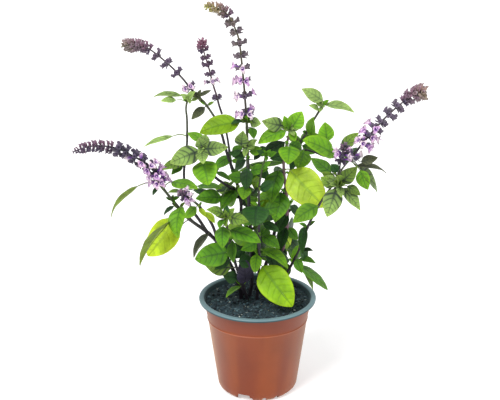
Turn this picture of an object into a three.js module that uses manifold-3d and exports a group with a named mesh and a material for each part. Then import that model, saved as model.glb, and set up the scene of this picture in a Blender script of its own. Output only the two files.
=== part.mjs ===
// A potted basil plant: a two-tone nursery pot, its soil, eight rooted leafy stems and seven flower spikes.
// Millimetres, +Z up. The origin is the centre of the hub under the pot, level with the foot.
// The plant is seen from -Y, and its stems and leaves are laid out along that line of sight.
import * as THREE from "three";
import Module from "manifold-3d";

const wasm = await Module();
wasm.setup();

// ---------------------------------------------------------------- driving dimensions

// The pot: a thin thermoformed wall with a flat lip, a raised ridge and a foot that tapers in under a raised
// bottom, whose middle comes down again as a flat hub. Eighteen lobes stand round the foot with a notch
// between each two, and every sixth lobe is cut back to a wide arch.
const POT_HEIGHT = 109.5;
const RIM_RADIUS = 65;
const LIP_WIDTH = 5;
const LIP_HEIGHT = 3;
const NECK_RADIUS = 60.3; // under the lip
const RIDGE_RADIUS = 56.4;
const RIDGE_HEIGHT = 85; // above the resting face
const RIDGE_RISE = 0.9; // how far the ridge stands out, and half its height
const FOOT_RADIUS = 44.8; // where the wall turns in to the foot
const FOOT_HEIGHT = 5;
const PAD_RADIUS = 40; // of the ring that the pot rests on
const RECESS = 9.6; // how far the bottom is raised inside the foot
const HUB_RADIUS = 12; // of the flat disc in the bottom's middle, level with the foot
const HUB_SPREAD = 3; // how much wider the hub is at the raised bottom
const WALL = 1.4;
const POT_SIDES = 40;
const LOBE_COUNT = 18;
const LOBES_PER_ARCH = 6;
const FIRST_ARCH = -1; // which lobe, counted from the front, is cut back first
const NOTCH_SIZE = [4.6, 5.2]; // width and height
const ARCH_SIZE = [14, 8.4];
const NOTCH_START = 36; // radius from which the wall is cut
const NOTCH_REACH = 12;

// The soil, a lumpy fill below the rim, with a plain hole for each stem.
const SOIL_LEVEL = 103.5;
const SOIL_SIDES = 24;
const SOIL_WAVES = [0.31, 0.13, 0.27, -0.11, 0.6]; // radians for each millimetre across the lumps
const SOIL_LUMP = 1.8; // height of the lumps, up and down
const SOIL_RINGS = 5;
const ROOT_DEPTH = 20; // how far each stem reaches below the soil's level
const FIT = 0.4; // clearance between pieces that meet

// Leaves: ovate blades on a short petiole, folded along the rib and arched.
const LEAF_SHARE = 0.56; // full width over length
const LEAF_ARCH = 0.09; // rise of the middle over length
const LEAF_FOLD = 0.1; // rise of the edges over width
const LEAF_THICKNESS = 1.3;
const PETIOLE_WIDTH = 1.7;
const SHORT_PETIOLE = 7; // under this, the blade widens straight from the stem
const BASE_SHARE = 0.15; // how much of a leaf's reach its petiole covers
// Stations along a blade: place along its length and share of its width. Small and far leaves have fewer.
const BLADE_STATIONS = [[0.18, 0.76], [0.45, 1], [0.76, 0.6]];
const SMALL_STATIONS = [[0.26, 0.9], [0.68, 0.75]];
const SMALL_LEAF = 24; // length in mm
// A leaf that would touch another stem's leaves is bent nearer or further, by the first of these that clears.
const BENDS = [0, 4, -4, 8, -8, 12, -12, 16, -16, 21, -21, 26, -26, 32, -32, 38, -38];

// Flower spikes: whorls of calyces, open flowers and a dense head of buds.
const CALYX_LENGTH = 6.4;
const CALYX_WIDTH = 4.4; // where it meets the rachis
const CALYX_LIFT = 1; // how far its tip leans forward
const PER_WHORL = 5;
const FLOWER_LENGTH = 10.5;
const FLOWER_WIDTH = 5.6;
const HEAD_STEP = 4.2; // between rings of buds
const RACHIS_RADIUS = 0.95;
const HEAD_VALLEYS = 0.5; // of the head's radius
const HEAD_NECK = 0.4;
const HEAD_ROUND = 0.3; // how much of the head's length rounds off to its end

// The measuring view: an eye in front of the pot, looking a little down. A spot on the plant is given by
// where it is seen in a 500 x 400 picture and by how far in front of the pot's axis it lies.
const EYE = new THREE.Vector3(0, -900, 513);
const EYE_PITCH = THREE.MathUtils.degToRad(18);
const EYE_SCALE = 881.3; // pixels for each unit of slope
const PICTURE_CENTRE = [257.5, 200];

// ---------------------------------------------------------------- the plant's layout

// Each stem: rows of seen column, seen row and depth from the soil up, its thickness at both ends, and its
// branches. Each leaf: seen base, seen tip, seen width, how far its tip reaches forward, and its tint.
// `bushy` is the height up to which leaves grow on the far side.
const STEMS = [
  {
    name: "leafy_stem_tall",
    bushy: 262,
    paths: [
      { radii: [2.2, 1.2], points: [[250, 293, -10], [252, 280, -6], [251, 240, 2], [249, 205, 5],
        [248, 170, 4], [247.5, 150, 3], [247, 130, 2], [246.5, 118, 2]] },
    ],
    leaves: [
      [250, 121, 261, 124, 10, 6, "slate"], [252, 128, 254, 139, 8, 14, "mid"],
      [240, 122, 199.5, 131, 18, 10, "lime"], [243, 121, 231, 123, 4, 4, "dark"],
      [241, 146, 243, 131, 13, 12, "slate"], [251, 149, 255, 140, 6, 8, "slate"],
      [258, 150, 266, 147, 4, 4, "dark"], [247, 168, 246, 190, 12, 10, "dark"],
      [252, 165, 270, 178, 12, -6, "dark"], [245, 186, 243, 199, 13, 14, "bright"],
      [240, 150, 232, 157, 5, 6, "dark"], [254, 160, 263, 152, 5, -6, "dark"],
      [246, 160, 234, 170, 9, -10, "dark"],
    ],
  },
  {
    name: "leafy_stem_upper_left",
    bushy: 235,
    paths: [
      { radii: [2.2, 1.0], points: [[244, 291, -16], [243, 280, -16], [241, 255, -16], [240, 230, -16],
        [241, 203, -22], [236, 180, -27], [231, 165, -31], [226, 150, -35], [222, 135, -39],
        [219, 127, -41], [215, 118, -43], [207, 106, -45], [203, 101, -46], [197, 95, -48]] },
      { radii: [1.2, 0.9], points: [[231, 165, -31], [229, 148, -45], [226.5, 133, -50], [222, 115, -54]] },
      { radii: [1.4, 1.1], points: [[238.5, 192, -24.5], [228, 186, -8], [215, 177, 12], [206, 165, 26],
        [202, 152, 34], [202, 146, 36]] },
    ],
    leaves: [
      [236, 190, 220, 208, 12, 26, "mid"], [234, 187, 214, 191, 5, 8, "dark"],
      [231, 169, 240, 178, 6, 8, "mid"], [216, 172, 231, 180, 5, 5, "mid"],
      [231, 156, 214, 168, 10, 16, "mid"], [232, 160, 244, 162, 6, 10, "bright"],
      [200, 151, 170, 163, 18, 14, "slate"], [204, 149, 227, 147, 14, 10, "slate"],
      [202, 150, 203, 162, 12, 22, "slate"], [202, 147, 199, 138, 11, 2, "slate"],
      [202, 161, 208, 184, 23, 26, "bright"], [203, 144, 206, 134, 10, -8, "slate"],
      [205, 107, 191, 119, 8, 6, "olive"], [198, 97, 191, 101, 4, 4, "bright"],
      [200, 96, 211, 90, 4, -4, "olive"], [222, 198, 196, 198, 14, 20, "mid"],
      [203, 142, 188, 131, 9, -14, "bright"], [232, 152, 243, 146, 8, -6, "mid"],
    ],
  },
  {
    name: "leafy_stem_left",
    bushy: 150,
    paths: [
      { radii: [2.4, 1.1], points: [[241, 296, -4], [239, 287, 1], [234, 272, 8], [226, 256, 16],
        [218, 243, 20], [207, 232, 24], [193, 222, 29], [183, 213, 33], [173, 201, 37],
        [162, 187, 42], [160.8, 184.6, 43]] },
      { radii: [1.7, 0.9], points: [[207, 232, 24], [200, 221, 12], [191, 208, 0], [186, 192, -10],
        [184, 176, -18], [185, 160, -24], [187, 143, -29], [187, 120, -33], [186, 108, -35],
        [188, 98, -36]] },
      { radii: [1.7, 1.0], points: [[218, 243, 20], [214, 229, 32], [209, 219, 40], [203, 211, 47],
        [198, 205, 53], [191, 199, 59]] },
    ],
    leaves: [
      [138, 186, 107, 214, 5, 4, "olive"], [173, 136, 143, 144, 5, 6, "bright"],
      [182, 96, 153, 94, 5, -4, "lime"], [176, 100, 161, 100, 6, 6, "bright"],
      [189, 98, 195, 91, 4, 2, "bright"], [182, 163, 162, 168, 9, 14, "olive"],
      [171, 182, 198, 187, 10, 14, "bright"], [197, 186, 222, 187, 6, 10, "mid"],
      [193, 190, 215, 194, 6, -4, "dark"], [176, 218, 147.5, 256.5, 27, 14, "lime"],
      [170, 221, 138, 264, 6, 36, "olive"], [173, 221, 166, 235, 8, 32, "dark"],
      [181, 207, 176, 237, 15, 24, "bright"], [174, 206, 163, 214, 4, 5, "dark"],
      [181, 191, 168, 192, 4, 6, "olive"], [199, 208, 206, 217, 5, 6, "lime"],
      [205, 212, 215, 223, 6, 8, "lime"], [209, 233, 191, 256, 7, 12, "olive"],
      [158, 187, 152, 195, 4, 3, "dark"], [176, 234, 163, 242, 4, 20, "olive"],
    ],
  },
  {
    name: "leafy_stem_inner_right",
    bushy: 262,
    paths: [
      { radii: [2.2, 1.0], points: [[265, 292, -10], [270, 283, -9], [279, 265, -8], [284, 244, -7],
        [287, 225, -6], [287, 205, -6], [286, 190, -6], [284, 172, -6], [284, 158, -6],
        [287, 143, -6], [290, 130, -6]] },
    ],
    leaves: [
      [284, 126, 262, 121, 14, 8, "slate"], [288, 127, 284, 116, 8, 0, "bright"],
      [291, 129, 302, 111.5, 16, -4, "bright"], [291, 131, 295, 141, 8, 8, "bright"],
      [286, 131, 258, 143, 13, 18, "bright"], [285, 142, 260, 156, 12, 10, "dark"],
      [290, 146, 288, 164, 20, 26, "bright"], [290, 170, 324, 206.5, 32, 40, "lime"],
      [279, 170, 271, 203, 18, 22, "mid"], [281, 192, 275, 221, 20, 26, "mid"],
      [282, 262, 268, 277, 12, 4, "dark"], [287, 233, 291, 245, 4, 4, "lime"],
      [290, 206, 300, 216, 8, -8, "dark"], [284, 163, 232, 171, 6, 26, "bright"],
      [286, 226, 280, 250, 11, 4, "dark"], [288, 214, 278, 232, 10, 6, "dark"],
    ],
  },
  {
    name: "leafy_stem_upper_right",
    bushy: 268,
    paths: [
      { radii: [2.2, 0.9], points: [[257, 287, -26], [262, 276, -28], [271, 247, -40], [279, 212, -50],
        [288, 180, -55], [296, 155, -56], [301, 142, -56], [305, 135, -55], [313, 121, -53],
        [318, 113, -52], [322, 106, -51]] },
      { radii: [1.1, 0.8], points: [[296, 155, -56], [304, 150, -46], [314, 152, -34], [324, 156, -20],
        [333, 157.5, -12]] },
    ],
    leaves: [
      [323, 101, 302.5, 87.5, 12, -2, "bright"], [319, 110, 309, 105, 5, 4, "bright"],
      [325, 105, 355, 110, 8, 6, "bright"], [311, 137, 313, 117, 10, 8, "bright"],
      [327, 142, 325, 122, 15, -8, "bright"], [335, 155, 304, 139, 16, 16, "bright"],
      [300, 143, 287, 136, 8, 12, "olive"], [304, 150, 298, 169, 17, 12, "bright"],
      [296, 157, 290, 170, 8, 4, "dark"], [342, 150, 358, 132, 11, -6, "olive"],
      [291, 186, 304, 194, 10, -6, "dark"], [300, 141, 319, 133, 9, -8, "bright"],
    ],
  },
  {
    name: "leafy_stem_right",
    bushy: 0,
    paths: [
      { radii: [2.3, 1.1], points: [[272, 298, -2], [279, 285, 5], [289, 269, 11], [296, 256, 17],
        [302, 241, 22], [310, 222, 28], [319, 205, 34], [327, 193, 38], [334, 183, 41],
        [340, 172, 43], [346, 164, 45], [351, 158, 46]] },
      { radii: [1.2, 1.0], points: [[327, 193, 38], [333, 190, 48], [339, 185, 56]] },
      { radii: [1.1, 0.9], points: [[340, 172, 43], [340, 166, 54], [341, 162, 60]] },
    ],
    leaves: [
      [341, 183, 357, 167, 14, 6, "bright"], [336, 184, 322, 172, 9, 4, "olive"],
      [337, 188, 327, 217, 18, 10, "slate"], [342, 188, 361, 210, 11, 8, "slate"],
      [339, 184, 339, 176, 6, 8, "lime"], [360, 170, 368, 190, 13, 6, "bright"],
      [359, 167, 381, 191, 9, -4, "bright"], [347, 186, 361, 195, 8, -4, "olive"],
      [361, 162, 378, 157, 9, -6, "olive"], [356, 166, 388, 170, 5, -12, "dark"],
      [338, 172, 331, 164, 9, -6, "dark"], [334, 187, 321, 177, 10, 2, "mid"],
      [331, 173, 311, 157.5, 12, -10, "mid"], [318, 206, 293, 222, 16, 12, "bright"],
      [306, 226, 301, 254, 9, -8, "olive"], [299, 245, 290, 262, 4, -2, "bright"],
      [299, 259, 316, 263, 6, 4, "mid"], [299, 265, 329.5, 288, 9, 10, "mid"],
      [303, 250, 313, 250, 4, 3, "dark"], [304, 268, 314, 290, 5, 2, "olive"],
      [350, 159, 356, 146, 9, 2, "dark"],
    ],
  },
  {
    name: "leafy_stem_centre",
    bushy: 240,
    paths: [
      { radii: [2.2, 1.0], points: [[257, 297, 0], [258, 286, 6], [259, 262, 13], [259, 240, 17],
        [259, 220, 18], [259, 205, 17], [259, 190, 15], [261, 175, 13], [264, 162, 11],
        [266, 155, 10]] },
    ],
    leaves: [
      [257, 206, 255.5, 225, 25, 26, "dark"], [262, 250, 289, 267, 10, 12, "mid"],
      [257, 243, 241, 250, 11, 14, "mid"], [257, 254, 255, 273, 11, 14, "bright"],
      [262, 266, 292, 306, 30, 34, "lime"], [262, 236, 280, 248, 11, 14, "mid"],
      [263, 223, 280, 231, 8, 8, "dark"], [262, 169, 270, 162, 5, 4, "mid"],
      [264, 156, 257, 150, 5, 3, "dark"], [260, 190, 274, 181, 9, 8, "dark"],
      [268, 156, 276, 152, 5, 4, "mid"],
    ],
  },
  {
    name: "leafy_stem_front_left",
    bushy: 0,
    paths: [
      { radii: [1.9, 1.0], points: [[247, 299, 4], [244, 290, 10], [238, 272, 21], [233, 255, 31],
        [229, 240, 40], [227, 228, 47], [226, 217, 53]] },
    ],
    leaves: [
      [224, 215, 207, 209, 9, 8, "olive"], [228, 217, 248, 221, 12, 12, "olive"],
      [226, 216, 227, 205, 6, -2, "dark"], [224, 219, 219, 228, 6, 14, "mid"],
      [223, 226, 222.5, 248, 14, 16, "mid"], [230, 230, 261, 242, 14, 14, "mid"],
      [233, 241, 233, 263, 9, 12, "mid"], [229, 252, 196, 259, 22, 16, "mid"],
      [231, 260, 212, 268, 10, -6, "dark"], [245, 284, 243, 258, 16, 8, "purple"],
      [238, 278, 223, 275, 12, 6, "dark"], [241, 286, 225.5, 297, 5, 14, "bright"],
    ],
  },
];

// Each spike: its rachis as a stem's path, its whorls as seen column, seen row and number of open flowers,
// where its dense head begins, and the head's radius there and before it rounds off. Some are smaller.
const SPIKES = [
  {
    name: "flower_spike_tall",
    points: [[246.3, 117, 2], [246, 112, 2], [245, 98, 1], [243.5, 80, 0], [241.5, 60, 0], [239, 40, 0],
      [234.5, 27, 2], [231, 19, 3], [224.5, 12, 5], [215.5, 7.5, 7], [204.5, 6, 9]],
    whorls: [[246, 113, 4], [245, 96, 4], [243.5, 81, 5], [242, 68, 4], [241, 56, 0], [239, 44, 0],
      [236.5, 33, 0], [233, 23.5, 0]],
    head: { from: [228, 15.5], radii: [6, 5] },
  },
  {
    name: "flower_spike_upper_left",
    points: [[196, 94, -48.5], [191, 89, -50], [183, 79, -52], [172, 67.5, -54], [160, 57, -56],
      [149, 49, -58], [140, 46, -59], [123, 44, -61]],
    whorls: [[190, 87, 3], [177, 73, 0], [167, 64, 0], [158, 55, 0]],
    head: { from: [150, 49.5], radii: [6, 8] },
  },
  {
    name: "flower_spike_short",
    size: 0.8,
    points: [[222, 114, -54], [219, 105, -55], [217, 97, -55], [213.5, 86, -55], [211, 76.5, -54],
      [208, 65, -53], [204.5, 54, -52], [201, 39.5, -50]],
    whorls: [[217.3, 98, 0], [212.5, 81.5, 3], [210.3, 74, 0], [207.8, 64.5, 0], [205.5, 57.5, 0]],
    head: { from: [203.5, 51], radii: [6, 5.5] },
  },
  {
    name: "flower_spike_left",
    points: [[160.3, 183.5, 43.6], [158.5, 178.5, 45], [155, 172.5, 46.5], [150.5, 167.5, 48],
      [145, 163, 49.5], [139, 159.3, 51], [132, 155.6, 53], [124, 151.3, 55], [115, 148, 57], [104, 146, 59],
      [93, 146, 61], [82, 148.5, 63], [73, 152, 65]],
    whorls: [[159.3, 181, 6], [155.8, 174, 6], [150, 167, 5], [142.5, 161.4, 3], [134.5, 157, 1],
      [126, 152.4, 0], [119, 149.4, 0]],
    head: { from: [112, 147.4], radii: [6, 4.5] },
  },
  {
    name: "flower_spike_front_left",
    size: 0.75,
    points: [[190.4, 198.6, 59.7], [186, 196, 67], [182, 194, 75], [180, 192, 81]],
    whorls: [[188, 197, 3], [184, 195, 3]],
    head: { from: [182, 194], radii: [4, 3] },
  },
  {
    name: "flower_spike_right",
    points: [[351.6, 157.3, 46.2], [363, 143, 48], [368, 137, 48], [374, 130, 49], [383, 120, 50],
      [393, 110.5, 51], [400, 104.5, 52], [407, 99, 53], [414, 95, 54], [421, 92.5, 55], [427, 92, 56]],
    whorls: [[353.5, 155.5, 2], [363, 143, 5], [369, 136, 4], [375, 129, 2], [381, 122, 0], [389, 114.5, 0],
      [397, 107, 0]],
    head: { from: [403, 102], radii: [6, 9] },
  },
  {
    name: "flower_spike_front_right",
    size: 0.8,
    points: [[341.3, 161.3, 61], [342, 157, 66], [343.5, 151, 71], [345, 144, 75]],
    whorls: [[341.7, 159.5, 2], [342.8, 154, 3]],
    head: { from: [343.8, 150], radii: [4.5, 4] },
  },
];

// ---------------------------------------------------------------- colours

const TINTS = { lime: 0xb4cc3a, bright: 0x86b545, mid: 0x5c8a3a, dark: 0x31502b, olive: 0x7b8440,
  slate: 0x6f8a5c, purple: 0x43304a };
const POT_FINISH = { color: 0xa0583c, roughness: 0.45, metalness: 0 };
const SOIL_FINISH = { color: 0x1e1a17, roughness: 0.95, metalness: 0 };
const SPIKE_FINISH = { color: 0x5a4560, roughness: 0.75, metalness: 0 };
const LEAF_ROUGHNESS = 0.6;

// ---------------------------------------------------------------- solids

// A closed solid through stations, each a ring of corners or, at an end, a single point. A ring runs
// anticlockwise seen from ahead. Neighbouring faces split alike, so a thin blade's two faces never cross.
function loft(stations) {
  const corners = stations.flat();
  const starts = stations.map((_, i) => stations.slice(0, i).flat().length);
  const faces = [];
  const last = stations.length - 1;
  for (let s = 0; s < last; s++) {
    const [a, b] = [starts[s], starts[s + 1]];
    const sides = Math.max(stations[s].length, stations[s + 1].length);
    for (let i = 0; i < sides; i++) {
      const j = (i + 1) % sides;
      if (stations[s].length === 1) faces.push(a, b + j, b + i);
      else if (stations[s + 1].length === 1) faces.push(a + i, a + j, b);
      else if (i % 2) faces.push(a + i, a + j, b + i, a + j, b + j, b + i);
      else faces.push(a + i, a + j, b + j, a + i, b + j, b + i);
    }
  }
  for (let i = 1; i + 1 < stations[0].length; i++) faces.push(0, i + 1, i);
  for (let i = 1; i + 1 < stations[last].length; i++) {
    faces.push(starts[last], starts[last] + i, starts[last] + i + 1);
  }
  return solid(corners.flatMap((c) => c.toArray()), faces);
}

function solid(positions, faces) {
  return new wasm.Manifold(new wasm.Mesh({
    numProp: 3, vertProperties: new Float32Array(positions), triVerts: new Uint32Array(faces),
  }));
}

// A ring of corners round a point on a line that runs along `ahead`.
function ring(centre, ahead, radius, sides) {
  const across = new THREE.Vector3().crossVectors(ahead, new THREE.Vector3(0, 1, 0)).normalize();
  const up = new THREE.Vector3().crossVectors(ahead, across);
  return Array.from({ length: sides }, (_, i) => {
    const angle = (2 * Math.PI * i) / sides;
    return centre.clone().addScaledVector(across, radius * Math.cos(angle))
      .addScaledVector(up, radius * Math.sin(angle));
  });
}

// A tapered stem through a list of points.
function tube(points, [thick, thin], sides) {
  return loft(points.map((point, i) => {
    const before = points[Math.max(i - 1, 0)];
    const after = points[Math.min(i + 1, points.length - 1)];
    const ahead = after.clone().sub(before).normalize();
    return ring(point, ahead, THREE.MathUtils.lerp(thick, thin, i / (points.length - 1)), sides);
  }));
}

// A pointed bud, widest at `waist` of its length.
function bud(root, tip, width, waist, sides) {
  const ahead = tip.clone().sub(root).normalize();
  return loft([[root], ring(root.clone().lerp(tip, waist), ahead, width / 2, sides), [tip]]);
}

function revolved(profile, sides) {
  const lathe = new THREE.LatheGeometry(profile.map(([r, z]) => new THREE.Vector2(r, z)), sides);
  return lathe.rotateX(Math.PI / 2);
}

// Corners that a lathe repeats on its axis and its seam are made one, and the solid is closed.
function solidOf(geometry) {
  const places = geometry.getAttribute("position");
  const known = new Map();
  const corners = [];
  const index = Array.from({ length: places.count }, (_, i) => {
    const at = [places.getX(i), places.getY(i), places.getZ(i)];
    const key = at.map((v) => Math.round(v * 1000)).join();
    if (!known.has(key)) {
      known.set(key, corners.length / 3);
      corners.push(...at);
    }
    return known.get(key);
  });
  const faces = [];
  for (let i = 0; i < geometry.index.count; i += 3) {
    const [a, b, c] = [0, 1, 2].map((k) => index[geometry.index.getX(i + k)]);
    if (a !== b && b !== c && c !== a) faces.push(a, b, c);
  }
  return solid(corners, faces);
}

// ---------------------------------------------------------------- the measuring view

// The place seen at a column and row, `depth` in front of the pot's axis.
function spot(column, row, depth) {
  const ahead = -EYE.y - depth;
  const slope = Math.atan((PICTURE_CENTRE[1] - row) / EYE_SCALE) - EYE_PITCH;
  const z = EYE.z + ahead * Math.tan(slope);
  const along = ahead * Math.cos(EYE_PITCH) - (z - EYE.z) * Math.sin(EYE_PITCH);
  return new THREE.Vector3(((column - PICTURE_CENTRE[0]) * along) / EYE_SCALE, -depth, z);
}

// Millimetres for each pixel at a place.
function pixelSize(place) {
  const away = place.clone().sub(EYE);
  return (away.y * Math.cos(EYE_PITCH) - away.z * Math.sin(EYE_PITCH)) / EYE_SCALE;
}

// The point of a stem, or of one of its branches, seen nearest to a column and row.
function nearestOn(paths, column, row) {
  let best = { gap: Infinity };
  for (const points of paths) {
    for (let i = 0; i + 1 < points.length; i++) {
      const [a, b] = [points[i], points[i + 1]];
      const [dx, dy] = [b[0] - a[0], b[1] - a[1]];
      const share = ((column - a[0]) * dx + (row - a[1]) * dy) / (dx * dx + dy * dy);
      const t = THREE.MathUtils.clamp(share, 0, 1);
      const at = a.map((v, k) => v + t * (b[k] - v));
      const gap = Math.hypot(column - at[0], row - at[1]);
      if (gap < best.gap) best = { gap, at, part: i + t };
    }
  }
  return best;
}

// ---------------------------------------------------------------- leaves

// A leaf from its root on the stem to its tip. `swell` makes it fatter all round, for testing its clearance.
function leaf(root, base, tip, seenWidth, swell, { bladeOnly = false, far = false } = {}) {
  const along = tip.clone().sub(base);
  const length = along.length();
  along.normalize();
  const stalked = base.distanceTo(root) > SHORT_PETIOLE;
  const facing = EYE.clone().sub(base).normalize();
  facing.addScaledVector(along, -facing.dot(along)).normalize();
  const raised = new THREE.Vector3().crossVectors(along, facing);
  if (raised.z < 0) raised.negate();
  const seen = seenWidth * pixelSize(base);
  const width = Math.max(seen, LEAF_SHARE * length);
  const tilt = Math.acos(Math.min(1, seen / width));
  const normal = facing.multiplyScalar(Math.cos(tilt)).addScaledVector(raised, Math.sin(tilt));
  const side = new THREE.Vector3().crossVectors(normal, along);
  const section = (centre, halfWidth, fold, thickness) => [
    centre.clone().addScaledVector(normal, thickness / 2),
    centre.clone().addScaledVector(side, -halfWidth).addScaledVector(normal, fold),
    centre.clone().addScaledVector(normal, -thickness / 2),
    centre.clone().addScaledVector(side, halfWidth).addScaledVector(normal, fold),
  ];
  const stalk = PETIOLE_WIDTH / 2 + swell;
  const stations = far || length < SMALL_LEAF ? SMALL_STATIONS : BLADE_STATIONS;
  const blade = stations.map(([place, share]) => {
    const centre = base.clone().lerp(tip, place)
      .addScaledVector(normal, LEAF_ARCH * length * 4 * place * (1 - place));
    const wide = width * share;
    return section(centre, wide / 2 + swell, LEAF_FOLD * wide, LEAF_THICKNESS + 2 * swell);
  });
  const stem = bladeOnly ? [] : [section(root, stalk, 0, 2 * stalk)];
  if (stalked) stem.push(section(base, stalk, 0, 2 * stalk));
  return loft([...stem, ...blade, [tip.clone().addScaledVector(along, swell)]]);
}

// A leaf of the layout, bent forward or back by `bend`.
function seenLeaf(paths, [bx, by, tx, ty, width, reach], bend, swell, options) {
  const [column, row, depth] = nearestOn(paths, bx, by).at;
  const full = reach + bend;
  return leaf(spot(column, row, depth), spot(bx, by, depth + BASE_SHARE * full),
    spot(tx, ty, depth + full), width, swell, options);
}

// ---------------------------------------------------------------- pieces

// The pot's inner wall, from the hub over the floor and up to the lip, which the soil follows.
const INNER_WALL = [[HUB_RADIUS - WALL, WALL], [HUB_RADIUS + HUB_SPREAD - WALL, RECESS + WALL],
  [FOOT_RADIUS - 2 * WALL, RECESS + WALL], [FOOT_RADIUS - 0.5 * WALL, RECESS + 2 * WALL],
  [RIDGE_RADIUS - RIDGE_RISE - WALL, RIDGE_HEIGHT],
  [NECK_RADIUS - WALL, POT_HEIGHT - LIP_HEIGHT]];

function pot() {
  const outside = [[0, 0], [HUB_RADIUS, 0], [HUB_RADIUS + HUB_SPREAD, RECESS],
    [FOOT_RADIUS - 2 * WALL, RECESS], [FOOT_RADIUS - WALL, FOOT_HEIGHT + WALL],
    [PAD_RADIUS - WALL, 0], [PAD_RADIUS, 0], [FOOT_RADIUS, FOOT_HEIGHT],
    [RIDGE_RADIUS - RIDGE_RISE, RIDGE_HEIGHT - RIDGE_RISE], [RIDGE_RADIUS, RIDGE_HEIGHT],
    [RIDGE_RADIUS - RIDGE_RISE, RIDGE_HEIGHT + RIDGE_RISE], [NECK_RADIUS, POT_HEIGHT - LIP_HEIGHT],
    [RIM_RADIUS, POT_HEIGHT - LIP_HEIGHT], [RIM_RADIUS, POT_HEIGHT]];
  const inside = [[RIM_RADIUS - LIP_WIDTH, POT_HEIGHT], ...INNER_WALL.toReversed(), [0, WALL]];
  const wall = revolved([...outside, ...inside], POT_SIDES).rotateZ(Math.PI / POT_SIDES);
  let body = solidOf(wall);
  const cut = ([width, height], lobe) => {
    const notch = new THREE.BoxGeometry(width, NOTCH_REACH, 2 * height);
    notch.translate(0, -(NOTCH_START + NOTCH_REACH / 2), 0);
    notch.rotateZ((2 * Math.PI * lobe) / LOBE_COUNT);
    body = body.subtract(solidOf(notch));
  };
  for (let lobe = 0; lobe < LOBE_COUNT; lobe++) {
    cut(NOTCH_SIZE, lobe + 0.5);
    if (lobe % LOBES_PER_ARCH === 0) cut(ARCH_SIZE, lobe + FIRST_ARCH);
  }
  return body;
}

// The fill follows the wall at a small gap; its surface is lumpy inside a level edge.
function soil(holes) {
  const within = (radius) => radius * Math.cos(Math.PI / POT_SIDES) - FIT;
  const [hub, rise, floor, foot, ridge, neck] = INNER_WALL;
  const share = (SOIL_LEVEL - ridge[1]) / (neck[1] - ridge[1]);
  const edge = within(ridge[0] + share * (neck[0] - ridge[0]));
  const top = Array.from({ length: SOIL_RINGS }, (_, i) => [(edge * i) / SOIL_RINGS, SOIL_LEVEL]);
  const fill = revolved([[0, hub[1] + FIT], [within(hub[0]), hub[1] + FIT], [within(rise[0]), rise[1] + FIT],
    [within(floor[0]), floor[1] + FIT], [within(foot[0]), foot[1]], [within(ridge[0]), ridge[1]],
    [edge, SOIL_LEVEL], ...top.toReversed()], SOIL_SIDES);
  const places = fill.getAttribute("position");
  for (let i = 0; i < places.count; i++) {
    const [x, y, z] = [places.getX(i), places.getY(i), places.getZ(i)];
    if (z < SOIL_LEVEL - 1 || Math.hypot(x, y) > edge - 1) continue;
    const [a, b, c, d, ripple] = SOIL_WAVES;
    const wave = Math.sin(a * x + b * y) * Math.cos(c * y + d * x) + 0.5 * Math.sin(ripple * (x + y));
    places.setZ(i, z + (SOIL_LUMP * wave) / 1.5); // the waves together reach 1.5 up and down
  }
  return holes.reduce((body, hole) => body.subtract(hole), solidOf(fill));
}

// A stem's bare tubes: its main path runs straight down into the soil from its lowest seen point.
function bareStem({ paths }) {
  const tubes = paths.map(({ points, radii }, i) => {
    const route = points.map((p) => spot(...p));
    if (i === 0) route.unshift(route[0].clone().setZ(SOIL_LEVEL - ROOT_DEPTH));
    return tube(route, radii, 5);
  });
  return tubes.reduce((a, b) => a.add(b));
}

// The plain hole in the soil that a stem stands in.
function stemHole({ paths: [{ points, radii }] }) {
  const foot = spot(...points[0]);
  const ends = [SOIL_LEVEL - ROOT_DEPTH - FIT, POT_HEIGHT].map((z) => foot.clone().setZ(z));
  return tube(ends, [radii[0] + 2 * FIT, radii[0] + 2 * FIT], 6);
}

// A ring of points standing out between valleys, such as a whorl of calyces.
function star(centre, ahead, outer, inner, forward, turn) {
  const across = new THREE.Vector3().crossVectors(ahead, new THREE.Vector3(0, 1, 0)).normalize();
  return Array.from({ length: 2 * PER_WHORL }, (_, i) => {
    const tip = i % 2 === turn;
    return centre.clone().addScaledVector(ahead, tip ? forward : 0)
      .addScaledVector(across.clone().applyAxisAngle(ahead, (Math.PI * i) / PER_WHORL), tip ? outer : inner);
  });
}

// A place and the way ahead, at a distance along a route.
function along(route, distance) {
  let left = distance;
  for (let i = 0; ; i++) {
    const step = route[i].distanceTo(route[i + 1]);
    if (left <= step || i + 2 === route.length) {
      const ahead = route[i + 1].clone().sub(route[i]).normalize();
      return { at: route[i].clone().addScaledVector(ahead, left), ahead };
    }
    left -= step;
  }
}

// How far along a route its point seen nearest to a column and row is.
function distanceTo(points, route, column, row) {
  const { part } = nearestOn([points], column, row);
  const whole = Math.floor(part);
  let distance = 0;
  for (let i = 0; i < whole; i++) distance += route[i].distanceTo(route[i + 1]);
  return whole === part ? distance : distance + (part - whole) * route[whole].distanceTo(route[whole + 1]);
}

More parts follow.
